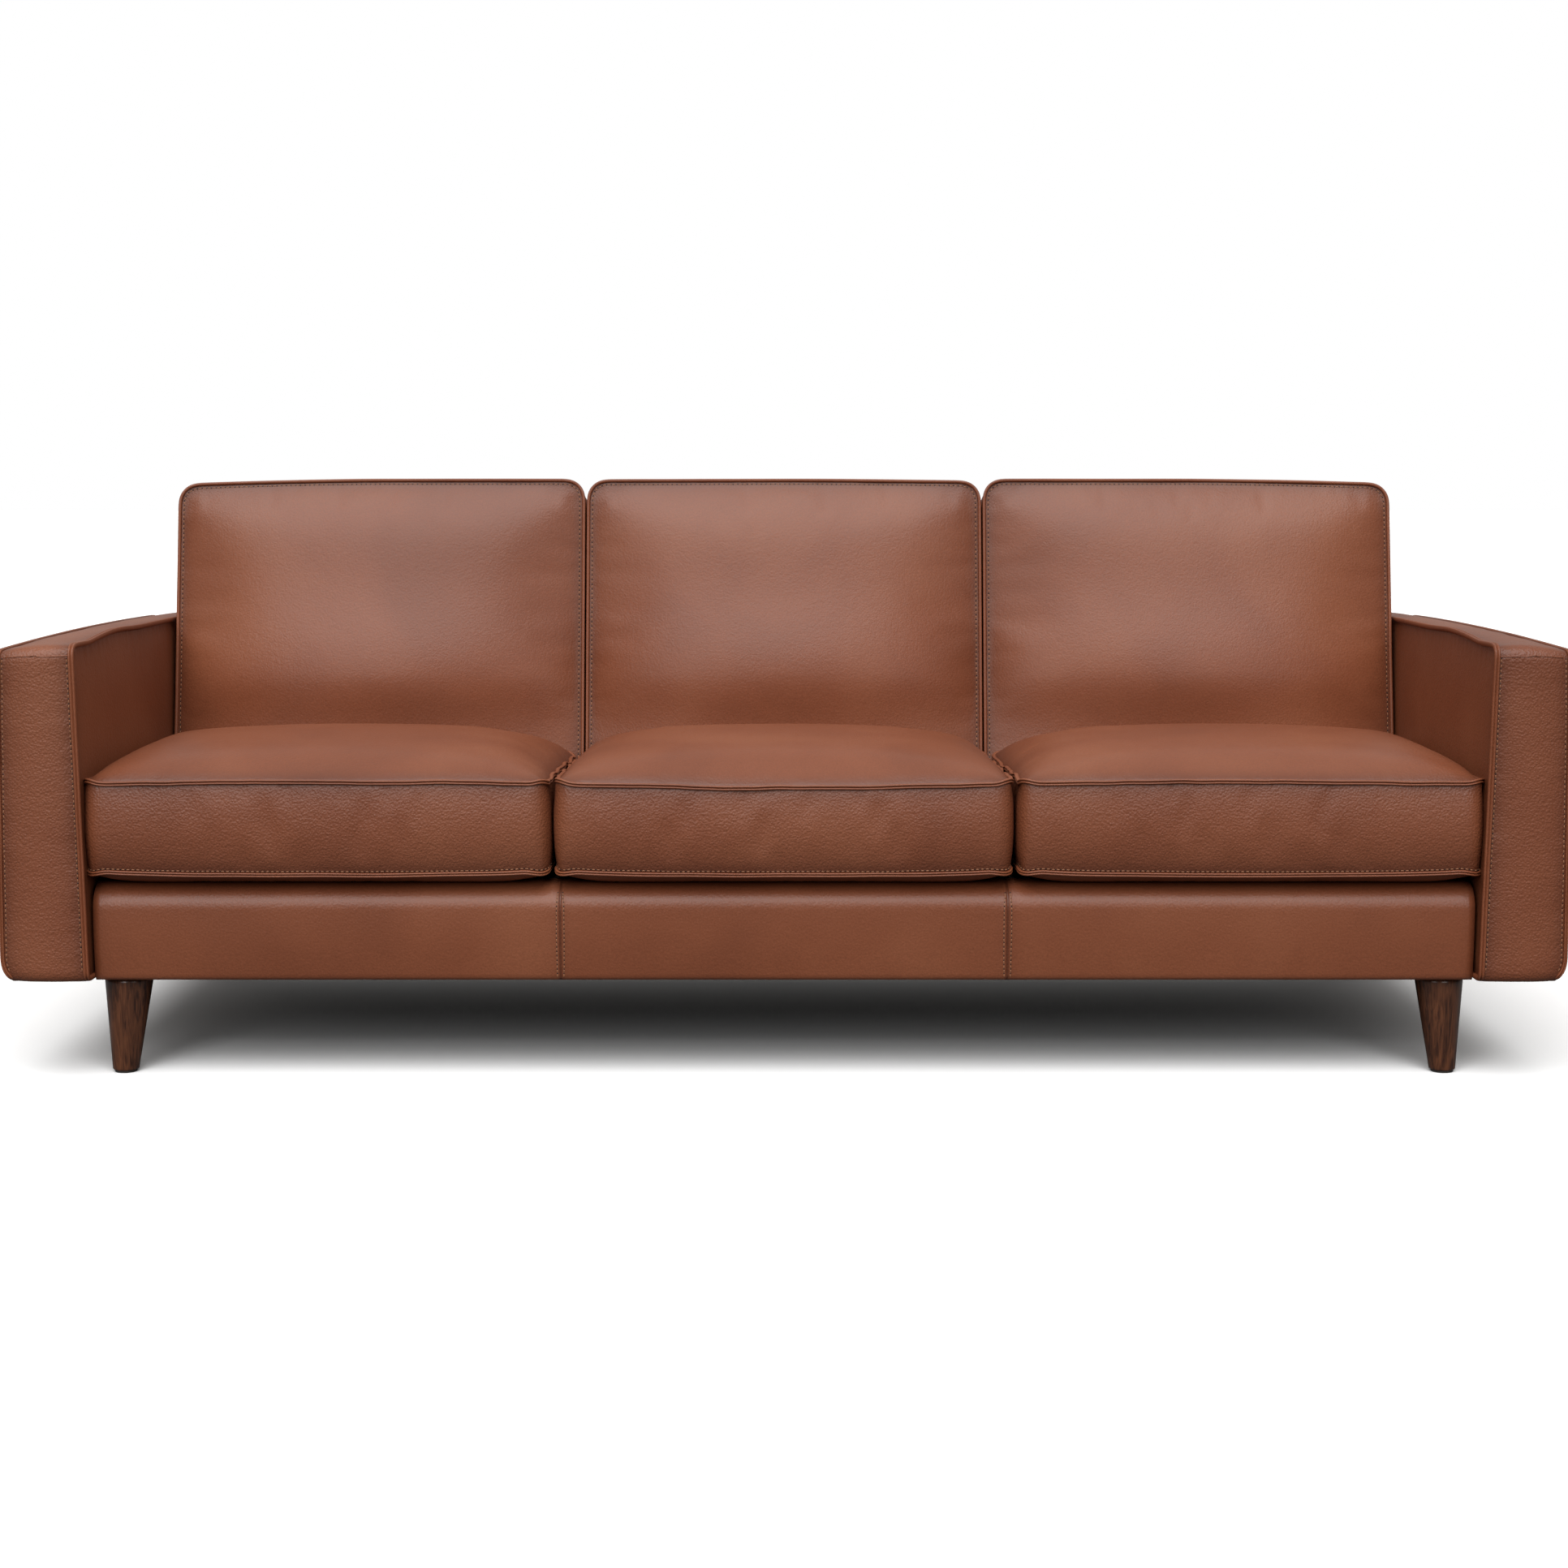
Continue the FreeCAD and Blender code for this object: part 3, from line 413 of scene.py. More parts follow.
def waxed_thread_and_hole_shade():
    """Tan waxed thread with a slight twist in it, and the dark dots of painted shade that stand for the
    needle holes it runs between.
    """
    material, tree, shader = surface("waxed_thread_and_hole_shade", (0.30, 0.13, 0.06), 0.55)
    twist = add_node(tree, "TexNoise", {"Vector": object_place(tree), "Scale": 900})
    tones = tone_ramp(tree, twist.outputs["Fac"], (0.0, (0.22, 0.082, 0.036)), (1.0, (0.40, 0.19, 0.095)))
    # painted shade: the needle holes' dots take the dark hole colour
    painted_hole_shade = add_node(tree, "Attribute", {}, attribute_name="painted_hole_shade")
    shown = add_node(tree, "Mix", {0: painted_hole_shade.outputs["Fac"], 6: tones, 7: (*HOLE_PAINTED_SHADE, 1)},
                     data_type="RGBA")
    fill(tree, shader, {"Base Color": shown.outputs[2]})
    return material


smooth_hide = leather("chestnut_hide_smooth", 0.22, 0.41)
pebbled_hide = leather("chestnut_hide_pebbled", 0.65, 0.46)
lip_hide = leather("chestnut_hide_lip", 0.12, 0.42)
thread = waxed_thread_and_hole_shade()


def even_block(width, depth, high, cell):
    """A block of nearly square faces that stands on the middle of its lowest face."""
    bm = bmesh.new()
    bmesh.ops.create_cube(bm, size=1.0)
    bmesh.ops.translate(bm, verts=bm.verts, vec=(0, 0, 0.5))
    bmesh.ops.scale(bm, verts=bm.verts, vec=(width, depth, high))
    for axis, size in enumerate((width, depth, high)):
        long_edges = [e for e in bm.edges if abs((e.verts[0].co - e.verts[1].co)[axis]) > 0.9 * size]
        bmesh.ops.subdivide_edges(bm, edges=long_edges, cuts=round(size / cell) - 1, use_grid_fill=True)
    return bm


def round_corner(x, y, half_x, half_y, radius):
    """Where a point of a rectangle lies once that corner of the rectangle is rounded."""
    over_x = abs(x) - (half_x - radius)
    over_y = abs(y) - (half_y - radius)
    if over_x <= 0 or over_y <= 0:
        return x, y
    reach = max(over_x, over_y) / math.hypot(over_x, over_y)
    return (math.copysign(half_x - radius + over_x * reach, x),
            math.copysign(half_y - radius + over_y * reach, y))


def bulge(share):
    """0 at the two seams of a band and 1 half way between them."""
    return math.sin(math.pi * min(1, max(0, share)))


def wander(x, y, z, seed, size):
    """A smooth seeded value from -1 to 1 that changes over a given distance."""
    return noise.noise(Vector((x / size + 17.3 * seed, y / size - 5.1 * seed, z / size + 3.7)))


def box_cover(name, width, depth, high, cell, corner, shape, flange=0.0):
    """A box-shaped leather cover: two panels joined by a band, with a seam round each panel.
    corner gives the corners' radius and shape(x, y, z, half_x, half_y, high) moves a point of the block."""
    bm = even_block(width, depth, high, cell)
    half_x, half_y = width / 2, depth / 2
    pinned = bm.verts.layers.int.new("pinned")
    seam_mark = bm.verts.layers.int.new("seam_mark")
    crease = bm.edges.layers.float.new("crease_edge")
    cell_x = width / round(width / cell)
    cell_y = depth / round(depth / cell)
    for vert in bm.verts:
        x, y, z = vert.co
        from_side = min(half_x - abs(x), half_y - abs(y))
        level = 1 if z > high - 1e-6 else 2 if z < 1e-6 else 0
        if level and from_side < 1e-6:
            vert[seam_mark] = level
            vert[pinned] = 1
        elif level == 1 and flange and from_side < 1.01 * min(cell_x, cell_y):
            vert[pinned] = 2
    for edge in bm.edges:
        if all(v[seam_mark] for v in edge.verts) and edge.verts[0][seam_mark] == edge.verts[1][seam_mark]:
            edge[crease] = 1.0
    for face in bm.faces:
        face.material_index = 0 if abs(face.normal.z) > 0.5 else 1
    for vert in bm.verts:
        x, y, z = vert.co
        if vert[pinned] == 2:
            if half_x - abs(x) < 1.01 * cell_x:
                x = math.copysign(half_x - flange, x)
            if half_y - abs(y) < 1.01 * cell_y:
                y = math.copysign(half_y - flange, y)
        radius = corner(x, y) if callable(corner) else corner
        x, y = round_corner(x, y, half_x, half_y, radius)
        vert.co = shape(x, y, z, half_x, half_y, high)
    return keep_mesh(name, bm, [smooth_hide, pebbled_hide])


def inflate(covers, pressure, cap, grow, limits, frames=20):
    """Fills sewn covers with cloth pressure, their seams held, and keeps each point within cap of its start.
    limits(cover, point) gives back the point moved clear of what the cushion rests on or presses against."""
    starts = {}
    for cover in covers:
        mesh = cover.data
        starts[cover] = [v.co.copy() for v in mesh.vertices]
        held = cover.vertex_groups.new(name="held")
        marks = mesh.attributes["pinned"].data
        held.add([v.index for v in mesh.vertices if marks[v.index].value], 1.0, "REPLACE")
        cloth = cover.modifiers.new("filling", "CLOTH")
        cloth.settings.vertex_group_mass = "held"
        cloth.settings.quality = 4
        cloth.settings.mass = 0.35
        cloth.settings.tension_stiffness = 18
        cloth.settings.compression_stiffness = 10
        cloth.settings.shear_stiffness = 6
        cloth.settings.bending_stiffness = 2.5
        cloth.settings.use_pressure = True
        cloth.settings.uniform_pressure_force = pressure
        cloth.settings.shrink_min = -grow
        cloth.settings.effector_weights.gravity = 0
        cloth.point_cache.frame_end = frames
    for number in range(1, frames + 1):
        scene.frame_set(number)
    shapes = bpy.context.evaluated_depsgraph_get()
    moved = {c: [v.co.copy() for v in c.evaluated_get(shapes).data.vertices] for c in covers}
    for cover in covers:
        cover.modifiers.clear()
        for vert, start, end in zip(cover.data.vertices, starts[cover], moved[cover]):
            shift = end - start
            if shift.length > 0:
                shift *= cap * math.tanh(shift.length / cap) / shift.length
            vert.co = start + shift
        for vert in cover.data.vertices:
            vert.co = limits(cover, vert.co)
        cover.vertex_groups.clear()
    scene.frame_set(1)


def seam_path(bm, mark):
    """The points of one seam of a cover, in order round it, with the seam's outward directions."""
    layer = bm.verts.layers.int["seam_mark"]
    crease = bm.edges.layers.float["crease_edge"]
    start = next(v for v in bm.verts if v[layer] == mark)
    path, vert, before = [], start, None
    while vert is not start or not path:
        path.append(vert.co.copy())
        onward = [e.other_vert(vert) for e in vert.link_edges if e[crease] > 0.5]
        onward = [v for v in onward if v is not before]
        before, vert = vert, onward[0]
    area = sum(a.x * b.y - a.y * b.x for a, b in zip(path, path[1:] + path[:1]))
    return path if area > 0 else path[::-1]


def refine(cover, puckers, seed, shade_spread=SEAM_SHADE_SPREAD):
    """Smooths a cover to a finer mesh, gathers it along its seams and marks how strongly painted shade
    darkens it near the seams.
    """
    smoother = cover.modifiers.new("smooth", "SUBSURF")
    smoother.levels = smoother.render_levels = 1
    smoother.boundary_smooth = "PRESERVE_CORNERS"
    shapes = bpy.context.evaluated_depsgraph_get()
    fine = bpy.data.meshes.new_from_object(cover.evaluated_get(shapes))
    cover.modifiers.clear()
    cover.data = fine
    bm = bmesh.new()
    bm.from_mesh(fine)
    bm.normal_update()
    crease = bm.edges.layers.float["crease_edge"]
    layer = bm.verts.layers.int["seam_mark"]
    for vert in bm.verts:
        vert[layer] = 0
    for edge in bm.edges:
        if edge[crease] > 0.5:
            mark = 1 if edge.verts[0].co.z > cover["seam_split"] else 2
            for vert in edge.verts:
                vert[layer] = mark
    paths = [seam_path(bm, mark) for mark in (1, 2)]
    tree = KDTree(sum(len(path) for path in paths))
    along = []
    for path in paths:
        run = 0.0
        for number, point in enumerate(path):
            run += (point - path[number - 1]).length
            tree.insert(point, len(along))
            along.append(run)
    tree.balance()
    seam_shade = bm.verts.layers.float.new("seam")
    shifts = {}
    for vert in bm.verts:
        point, number, distance = tree.find(vert.co)
        # painted shade: how much the leather is darkened, strongest on the seam and fading away from it
        vert[seam_shade] = (0.55 * math.exp(-(distance / shade_spread) ** 2)
                          + 0.45 * math.exp(-distance / (3 * shade_spread)))
        if distance > 1e-5 and puckers:
            fold = wander(along[number], distance * 0.35, point.z, seed, 0.016)
            drag = wander(along[number], distance * 0.3, point.z, seed + 5, 0.045)
            depth = puckers(vert.co) * math.exp(-distance / 0.020) * min(1, distance / 0.006)
            shifts[vert] = vert.normal * depth * (0.8 * fold + 0.9 * drag)
    for vert, shift in shifts.items():
        vert.co += shift
    bm.to_mesh(fine)
    skin = BVHTree.FromBMesh(bm)
    bm.free()
    return paths, skin


LIP_HALF = ((-0.0022, 0.0031), (0.0008, 0.0038), (0.0028, 0.0037), (0.0040, 0.0030), (0.0044, 0.0020),
            (0.0038, 0.0010), (0.0010, 0.0003))
LIP = LIP_HALF + tuple((out, -up) for out, up in reversed(LIP_HALF))
STITCH = (0.0056, 0.0018, 0.0017)
# the size of the dark dot of painted shade at each needle hole
NEEDLE_SHADE_DOT = (0.0026, 0.0024, 0.0011)
STITCH_SINK = 0.0002


def even_steps(path, pitch, closed):
    """Points a pitch apart along a path, with the direction of the path at each."""
    points = path + path[:1] if closed else path
    run, wanted, found = 0.0, pitch / 2, []
    for a, b in zip(points, points[1:]):
        step = (b - a).length
        while step > 0 and wanted <= run + step:
            found.append((a.lerp(b, (wanted - run) / step), (b - a).normalized()))
            wanted += pitch
        run += step
    return found


def lip_seam(name, path, size, closed=True, ripple=None):
    """The raised double lip in which a seam ends: a grooved section swept along the seam."""
    section = bpy.data.curves.new(name + "_section", "CURVE")
    section.dimensions = "2D"
    ring = section.splines.new("POLY")
    ring.points.add(len(LIP) - 1)
    for point, corner in zip(ring.points, LIP):
        point.co = (*(Vector(corner) * size), 0, 1)
    ring.use_cyclic_u = True
    section_thing = bpy.data.objects.new(name + "_section", section)
    line = bpy.data.curves.new(name + "_line", "CURVE")
    line.dimensions = "3D"
    line.twist_mode = "Z_UP"
    line.bevel_mode = "OBJECT"
    line.bevel_object = section_thing
    run = line.splines.new("POLY")
    run.points.add(len(path) - 1)
    for point, place in zip(run.points, path):
        moved = place + ripple(place) if ripple else place
        point.co = (*moved, 1)
    run.use_cyclic_u = closed
    line.use_fill_caps = not closed
    swept = bpy.data.objects.new(name + "_line", line)
    scene.collection.objects.link(section_thing)
    scene.collection.objects.link(swept)
    shapes = bpy.context.evaluated_depsgraph_get()
    mesh = bpy.data.meshes.new_from_object(swept.evaluated_get(shapes))
    bpy.data.objects.remove(swept)
    bpy.data.objects.remove(section_thing)
    bm = bmesh.new()
    bm.from_mesh(mesh)
    bmesh.ops.remove_doubles(bm, verts=bm.verts, dist=1e-7)
    bmesh.ops.recalc_face_normals(bm, faces=bm.faces)
    bpy.data.meshes.remove(mesh)
    return keep_mesh(name, bm, [lip_hide])


def stitch_row(name, path, skin, pitch=0.0078, closed=True, sink=0.0):
    """Separate thread stitches lying end to end along a path on a cover's skin, each followed by a dark dot
    of painted shade at its needle hole.
    """
    one = bmesh.new()
    painted_hole_shade = one.verts.layers.float.new("painted_hole_shade")
    bmesh.ops.create_uvsphere(one, u_segments=6, v_segments=5, radius=0.5)
    bmesh.ops.scale(one, verts=one.verts, vec=STITCH)
    # painted shade: a small dark dot between stitches stands for the shadow in the needle hole
    shade_dot = bmesh.ops.create_uvsphere(one, u_segments=6, v_segments=4, radius=0.5)["verts"]
    bmesh.ops.scale(one, verts=shade_dot, vec=NEEDLE_SHADE_DOT)
    bmesh.ops.translate(one, verts=shade_dot, vec=(pitch / 2, 0, 0))
    for vert in shade_dot:
        vert[painted_hole_shade] = 1.0
    pattern = bpy.data.meshes.new(name + "_stitch")
    one.to_mesh(pattern)
    one.free()
    bm = bmesh.new()
    for point, forward in even_steps(path, pitch, closed):
        place, normal, _, _ = skin.find_nearest(point)
        across = normal.cross(forward).normalized()
        turn = Matrix((across.cross(normal), across, normal)).transposed().to_4x4()
        stitch = pattern.copy()
        stitch.transform(Matrix.Translation(place - normal * sink) @ turn)
        bm.from_mesh(stitch)
        bpy.data.meshes.remove(stitch)
    bpy.data.meshes.remove(pattern)
    return keep_mesh(name, bm, [thread])


def settle_in(matrix, body, *things):
    """Carries finished pieces from the bench they were made on to their place, and fixes them to a body."""
    for thing in things:
        thing.data.transform(matrix)
        if matrix.determinant() < 0:
            thing.data.flip_normals()
        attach(thing, body)

# ---- the arms ----
# Each arm is a box of rails and plywood under foam and leather: an inner and an outer panel joined by a band
# that runs up the front, over the top and down the rear, topstitched beside its seams at the front and rear.

ARM_RISE = 0.005
ARM_CELL = 0.0105
ARM_FLARE = 0.0095
ARM_TUCK = 0.0145
ARM_TUCK_HIGH = 0.036
ARM_TOP_SEAM = 0.0105
ARM_SLIM = (0.0015, 0.0090)
ARM_FALL = 0.0070
ARM_STITCH_IN = 0.0065
ARM_PITCH = 0.0072
ARM_CORNER = (0.013, 0.008)
ARM_FULL = 0.0062
ARM_LIPS = (1.12, 0.8)
ARM_TOP_LIP = 0.24
ARM_LIP_DRAWN = (0.0056, 0.020)


def outward(x, y, half_x, half_y, radius):
    """The direction out of a rounded rectangle at a point near its outline."""
    way = Vector((math.copysign(max(0.0, abs(x) - half_x + radius), x),
                  math.copysign(max(0.0, abs(y) - half_y + radius), y), 0))
    return way.normalized() if way.length > 0 else way


def arm_corner(x, y):
    """The radius of an arm's corners: softer at its top than at its foot."""
    return ARM_CORNER[0] if y > 0 else ARM_CORNER[1]


def arm_shape(x, y, z, half_x, half_y, high):
    """Pillowed panels and band, a top that rises a little and an outer side that flares to a tucked foot."""
    share = z / high
    u, v = min(1, abs(x) / half_x), min(1, abs(y) / half_y)
    swell = max(0.0, (1 - u ** 5) * (1 - v ** 5)) ** 0.6
    height = (y + half_y) / (2 * half_y)
    z += swell * (0.002 if share > 0.5 else -0.005) * abs(2 * share - 1)
    z -= (ARM_SLIM[0] + ARM_SLIM[1] * min(1, max(0, height))) * share
    away = outward(x, y, half_x, half_y, ARM_CORNER[0]) * ARM_FULL * bulge(share) ** 0.8
    away.y *= 0.7 if y > 0 else 0.15
    foot = max(0.0, 1 - height * 2 * half_y / ARM_TUCK_HIGH)
    z -= ARM_FLARE * (1 - height) ** 0.7 * (1 - share) if height < 1 else 0
    z += ARM_TUCK * foot ** 2.2 * (1 - share)
    back = x + half_x
    hump = 0.0045 * math.exp(-((back - 0.25) / 0.10) ** 2) - 0.002 * math.exp(-((back - 0.09) / 0.04) ** 2)
    y += ARM_RISE * (1 - (x / half_x) ** 2) * height ** 6 + hump * height ** 30 * share ** 2
    y -= ARM_FALL * (1 - share) ** 1.4 * max(0.0, height) ** 12
    return Vector((x + away.x, y + away.y, z))


for name, side, seed in (("left", -1, 1), ("right", 1, 2)):
    low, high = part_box(f"arm_cover_{name}")
    length, tall, thick = high.y - low.y, high.z - low.z - ARM_RISE, high.x - low.x

    def keep_clear_below(point):
        """Draws the lip up into the seam along the underside, and waves it slightly elsewhere."""
        below = max(0.0, 1 - (point.y + tall / 2) / ARM_LIP_DRAWN[1])
        wave = 0.0005 * wander(point.x, point.y, point.z, seed, 0.07)
        return Vector((0, ARM_LIP_DRAWN[0] * below ** 1.5, wave))

    cover = box_cover(f"arm_leather_{name}", length, tall, thick, ARM_CELL, arm_corner, arm_shape)
    cover["seam_split"] = thick / 2
    paths, skin = refine(cover, lambda place: 0.0016, seed)
    inner, outer = paths
    parts = [cover,
             lip_seam(f"arm_seam_inner_{name}", inner, ARM_LIPS[0], ripple=keep_clear_below),
             lip_seam(f"arm_seam_outer_{name}", outer, ARM_LIPS[1], ripple=keep_clear_below)]
    for end, sign in (("front", -1), ("rear", 1)):
        for edge, path, step in (("inner", inner, -ARM_STITCH_IN), ("outer", outer, ARM_STITCH_IN)):
            run = [p + Vector((0, 0, step)) for p in path
                   if sign * p.x > length / 2 - 0.004 and abs(p.y) < tall / 2 - ARM_TOP_SEAM - 0.004]
            run.sort(key=lambda p: p.y)
            parts.append(stitch_row(f"arm_stitches_{end}_{edge}_{name}", run, skin, ARM_PITCH, False,
                                    STITCH_SINK))
        rows = [Vector((sign * (length / 2 + 0.02), tall / 2 - ARM_TOP_SEAM,
                        0.006 + number * (thick - 0.012) / 16)) for number in range(17)]
        fold = [skin.find_nearest(p)[0] for p in rows]
        parts.append(lip_seam(f"arm_top_seam_{end}_{name}", fold, ARM_TOP_LIP, closed=False))
    bench = Matrix(((0, 0, -side, side * max(abs(low.x), abs(high.x))),
                    (1, 0, 0, (low.y + high.y) / 2),
                    (0, 1, 0, low.z + tall / 2),
                    (0, 0, 0, 1)))
    settle_in(bench, "frame", *parts)
    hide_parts(f"arm_cover_{name}", f"arm_padding_{name}")

# ---- the front rail ----
# Leather over a thin foam, stapled under the rail and carried up its face and back over a soft rolled edge
# to the deck. It is joined from three lengths by felled seams with a row of topstitching at each side.

RAIL_ROLL = 0.036
RAIL_FOLD = 0.004
RAIL_FULL = 0.0050
RAIL_TOP_LIFT = 0.0003
RAIL_PITCH = 0.0066
RAIL_GRID = (200, 50)
LEATHER_THICK = 0.0014
FELLED_SEAMS = (-0.325, 0.325)
FELLED_CUTS = (-0.0075, -0.005, -0.003, -0.0015, 0, 0.0015, 0.003, 0.005, 0.0075)
FELLED_STITCH_IN = 0.0052

low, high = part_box("front_rail_cover")
rail_deep, rail_tall = high.y - low.y, high.z - low.z
turn = RAIL_ROLL * math.pi / 2
under = rail_deep - RAIL_FOLD
face_run = rail_tall - RAIL_ROLL - RAIL_FOLD
rail_run = under + RAIL_FOLD * math.pi / 2 + face_run + turn + rail_deep - RAIL_ROLL


def rail_section(run):
    """(y, z, outward y, outward z) at a distance along the leather from its stapled edge under the rail."""
    if run < under:
        return high.y - run, low.z, 0, -1
    run -= under
    if run < RAIL_FOLD * math.pi / 2:
        out_y, out_z = -math.sin(run / RAIL_FOLD), -math.cos(run / RAIL_FOLD)
        return low.y + RAIL_FOLD + RAIL_FOLD * out_y, low.z + RAIL_FOLD + RAIL_FOLD * out_z, out_y, out_z
    run -= RAIL_FOLD * math.pi / 2
    if run < face_run:
        return low.y, low.z + RAIL_FOLD + run, -1, 0
    run -= face_run
    if run < turn:
        out_y, out_z = -math.cos(run / RAIL_ROLL), math.sin(run / RAIL_ROLL)
        return low.y + RAIL_ROLL + RAIL_ROLL * out_y, high.z - RAIL_ROLL + RAIL_ROLL * out_z, out_y, out_z
    return low.y + RAIL_ROLL + run - turn, high.z, 0, 1


def cut_for_seams(bm):
    """Gives a panel the fine rows of faces that its felled seams need."""
    for seam_x in FELLED_SEAMS:
        for step in FELLED_CUTS:
            everything = bm.verts[:] + bm.edges[:] + bm.faces[:]
            bmesh.ops.bisect_plane(bm, geom=everything, dist=1e-5, plane_co=(seam_x + step, 0, 0),
                                   plane_no=(1, 0, 0))


def off_seam(x):
    """How far a place across a panel is from the nearest felled seam."""
    return abs(abs(x) - FELLED_SEAMS[1])


def felled_dip(from_seam):
    """The valley of a felled seam and the low ridge at each side, where the leather lies double."""
    return (-0.0022 * math.exp(-(from_seam / 0.0011) ** 2)
            + 0.0010 * math.exp(-((from_seam - 0.0034) / 0.0022) ** 2))


def felled_rows():
    """The name and the place of the row of topstitching at each side of the felled seams."""
    return [(f"{number}{row}", seam_x + step) for number, seam_x in enumerate(FELLED_SEAMS, 1)
            for row, step in (("a", -FELLED_STITCH_IN), ("b", FELLED_STITCH_IN))]


def give_thickness(panel):
    """Makes an open panel as thick as its leather, with its outer face left where it is."""
    solid = panel.modifiers.new("leather_thickness", "SOLIDIFY")
    solid.thickness = LEATHER_THICK
    solid.offset = -1


bm = bmesh.new()
bmesh.ops.create_grid(bm, x_segments=RAIL_GRID[0], y_segments=RAIL_GRID[1], size=0.5)
bmesh.ops.scale(bm, verts=bm.verts, vec=(high.x - low.x, rail_run, 1))
cut_for_seams(bm)
seam_shade = bm.verts.layers.float.new("seam")
for vert in bm.verts:
    x, run = vert.co.x, vert.co.y + rail_run / 2
    y, z, out_y, out_z = rail_section(min(max(run, 0), rail_run))
    from_seam = off_seam(x)
    on_face = bulge((run - under) / (face_run + turn)) ** 0.8
    swell = RAIL_FULL * on_face + 0.0007 * wander(x, z, 0, 9, 0.09) * on_face
    gather = 0.0005 * math.exp(-from_seam / 0.012) * wander(0, run, 0, 4, 0.008)
    lift = swell + (felled_dip(from_seam) + gather) * min(1, on_face * 6)
    vert.co = (x, y + out_y * lift, z + max(0, out_z) * min(lift, RAIL_TOP_LIFT))
    # painted shade: the leather darkened in and beside each felled seam's valley
    vert[seam_shade] = 0.85 * math.exp(-(from_seam / 0.0022) ** 2) + 0.25 * math.exp(-(from_seam / 0.012) ** 2)
bm.normal_update()
if sum(face.normal.y for face in bm.faces) > 0:
    bmesh.ops.reverse_faces(bm, faces=bm.faces)
bm.normal_update()
rail_skin = BVHTree.FromBMesh(bm)
rail_leather = keep_mesh("front_rail_leather", bm, [smooth_hide])
give_thickness(rail_leather)
rail_parts = [rail_leather]
for row, x in felled_rows():
    line = [Vector((x, low.y - RAIL_FOLD, low.z + RAIL_FOLD + k * (rail_tall - 3 * RAIL_FOLD) / 40))
            for k in range(41)]
    rail_parts.append(stitch_row(f"rail_stitches_{row}", line, rail_skin, RAIL_PITCH, False, STITCH_SINK))
settle_in(Matrix.Identity(4), "frame", *rail_parts)
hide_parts("front_rail_cover", "front_rail_padding")

# ---- the seat cushions ----
# Three loose foam cushions in boxed leather covers: a crowned top, a band and a flat underside, with a
# raised double lip round the top and a flatter one round the bottom with topstitching above it.

SEAT_CELL = 0.0105
SEAT_SIDE = 0.0045
SEAT_UNDER = 0.0180
SEAT_BAND = 0.1305
SEAT_CORNER = 0.022
SEAT_FULL = 0.0085
SEAT_SAG = 0.020
SEAT_BOW = {"left": 0.003, "centre": -0.006, "right": 0.003}
SEAT_EASE = {"left": (-0.0095, -0.0045), "centre": (-0.0045, 0.0035), "right": (0.0035, 0.0095)}
SEAT_JOINS = {"left": (0, 1), "centre": (1, 1), "right": (1, 0)}
SEAT_OUT_FRONT = 0.007
SEAT_LIPS = (0.92, 0.85)
SEAT_PITCH = 0.0072
STITCH_UP = 0.0058

seats = {}
for seed, place in enumerate(("left", "centre", "right"), 11):
    low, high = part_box(f"seat_cushion_cover_{place}")
    low.x += SEAT_EASE[place][0]
    high.x += SEAT_EASE[place][1]
    width, depth = high.x - low.x, high.y - low.y
    top_rise = high.z - low.z - SEAT_UNDER - SEAT_BAND
    bow = SEAT_BOW[place]
    joins = SEAT_JOINS[place]

    def seat_shape(x, y, z, half_x, half_y, high):
        """The cushion as sewn: a crowned top, a full band and a belly that the deck will flatten."""
        share = z / high
        u, v = x / half_x, y / half_y
        joined = joins[1] if x > 0 else joins[0]
        across = 0.55 * (1 - abs(u) ** 2.5) + 0.45 * (1 - abs(u) ** (7 if joined else 11))
        fall = max(0.0, across * (1 - abs(v) ** 2.9))
        away = outward(x, y, half_x, half_y, SEAT_CORNER) * bulge(share) ** 0.8
        away.x *= 0.8 * SEAT_SIDE
        away.y *= SEAT_FULL
        edge = max(abs(u), abs(v)) ** 10
        front = max(0.0, -v) ** 6
        rise = 0.0
        if share > 0.5:
            rise += bow * math.cos(u * math.pi / 2) * front
            rise -= SEAT_SAG * (0.1 + 0.9 * joined) * abs(u) ** 10 * max(0.0, (v + 1) / 2) ** 1.3
            rise += 0.0016 * edge * wander(x, y, 0, seed, 0.11)
            rise *= (share - 0.5) * 2
        else:
            rise += (0.0045 * abs(u) ** 3 + 0.0065 * abs(u) ** 18 - 0.0025) * front * (1 - 2 * share)
        if share > 0.999:
            rise += 0.96 * top_rise * fall ** 0.46
        if share < 0.001:
            rise -= SEAT_UNDER * fall ** 0.20
        return Vector((x + away.x, y + away.y, z + rise))

    cover = box_cover(f"seat_leather_{place}", width - 2 * SEAT_SIDE, depth - 2 * SEAT_SIDE, SEAT_BAND,
                      SEAT_CELL, SEAT_CORNER, seat_shape)
    cover["seam_split"] = SEAT_BAND / 2
    seats[cover] = (place, seed, width, depth, low, high)


def on_the_deck(cover, point):
    """Keeps a seat cushion's leather between its neighbours and on the deck."""
    width, depth = seats[cover][2:4]
    point.x = min(max(point.x, -width / 2), width / 2)
    point.y = min(max(point.y, -depth / 2 - SEAT_OUT_FRONT), depth / 2)
    point.z = max(point.z, 0.0005 - SEAT_UNDER)
    return point


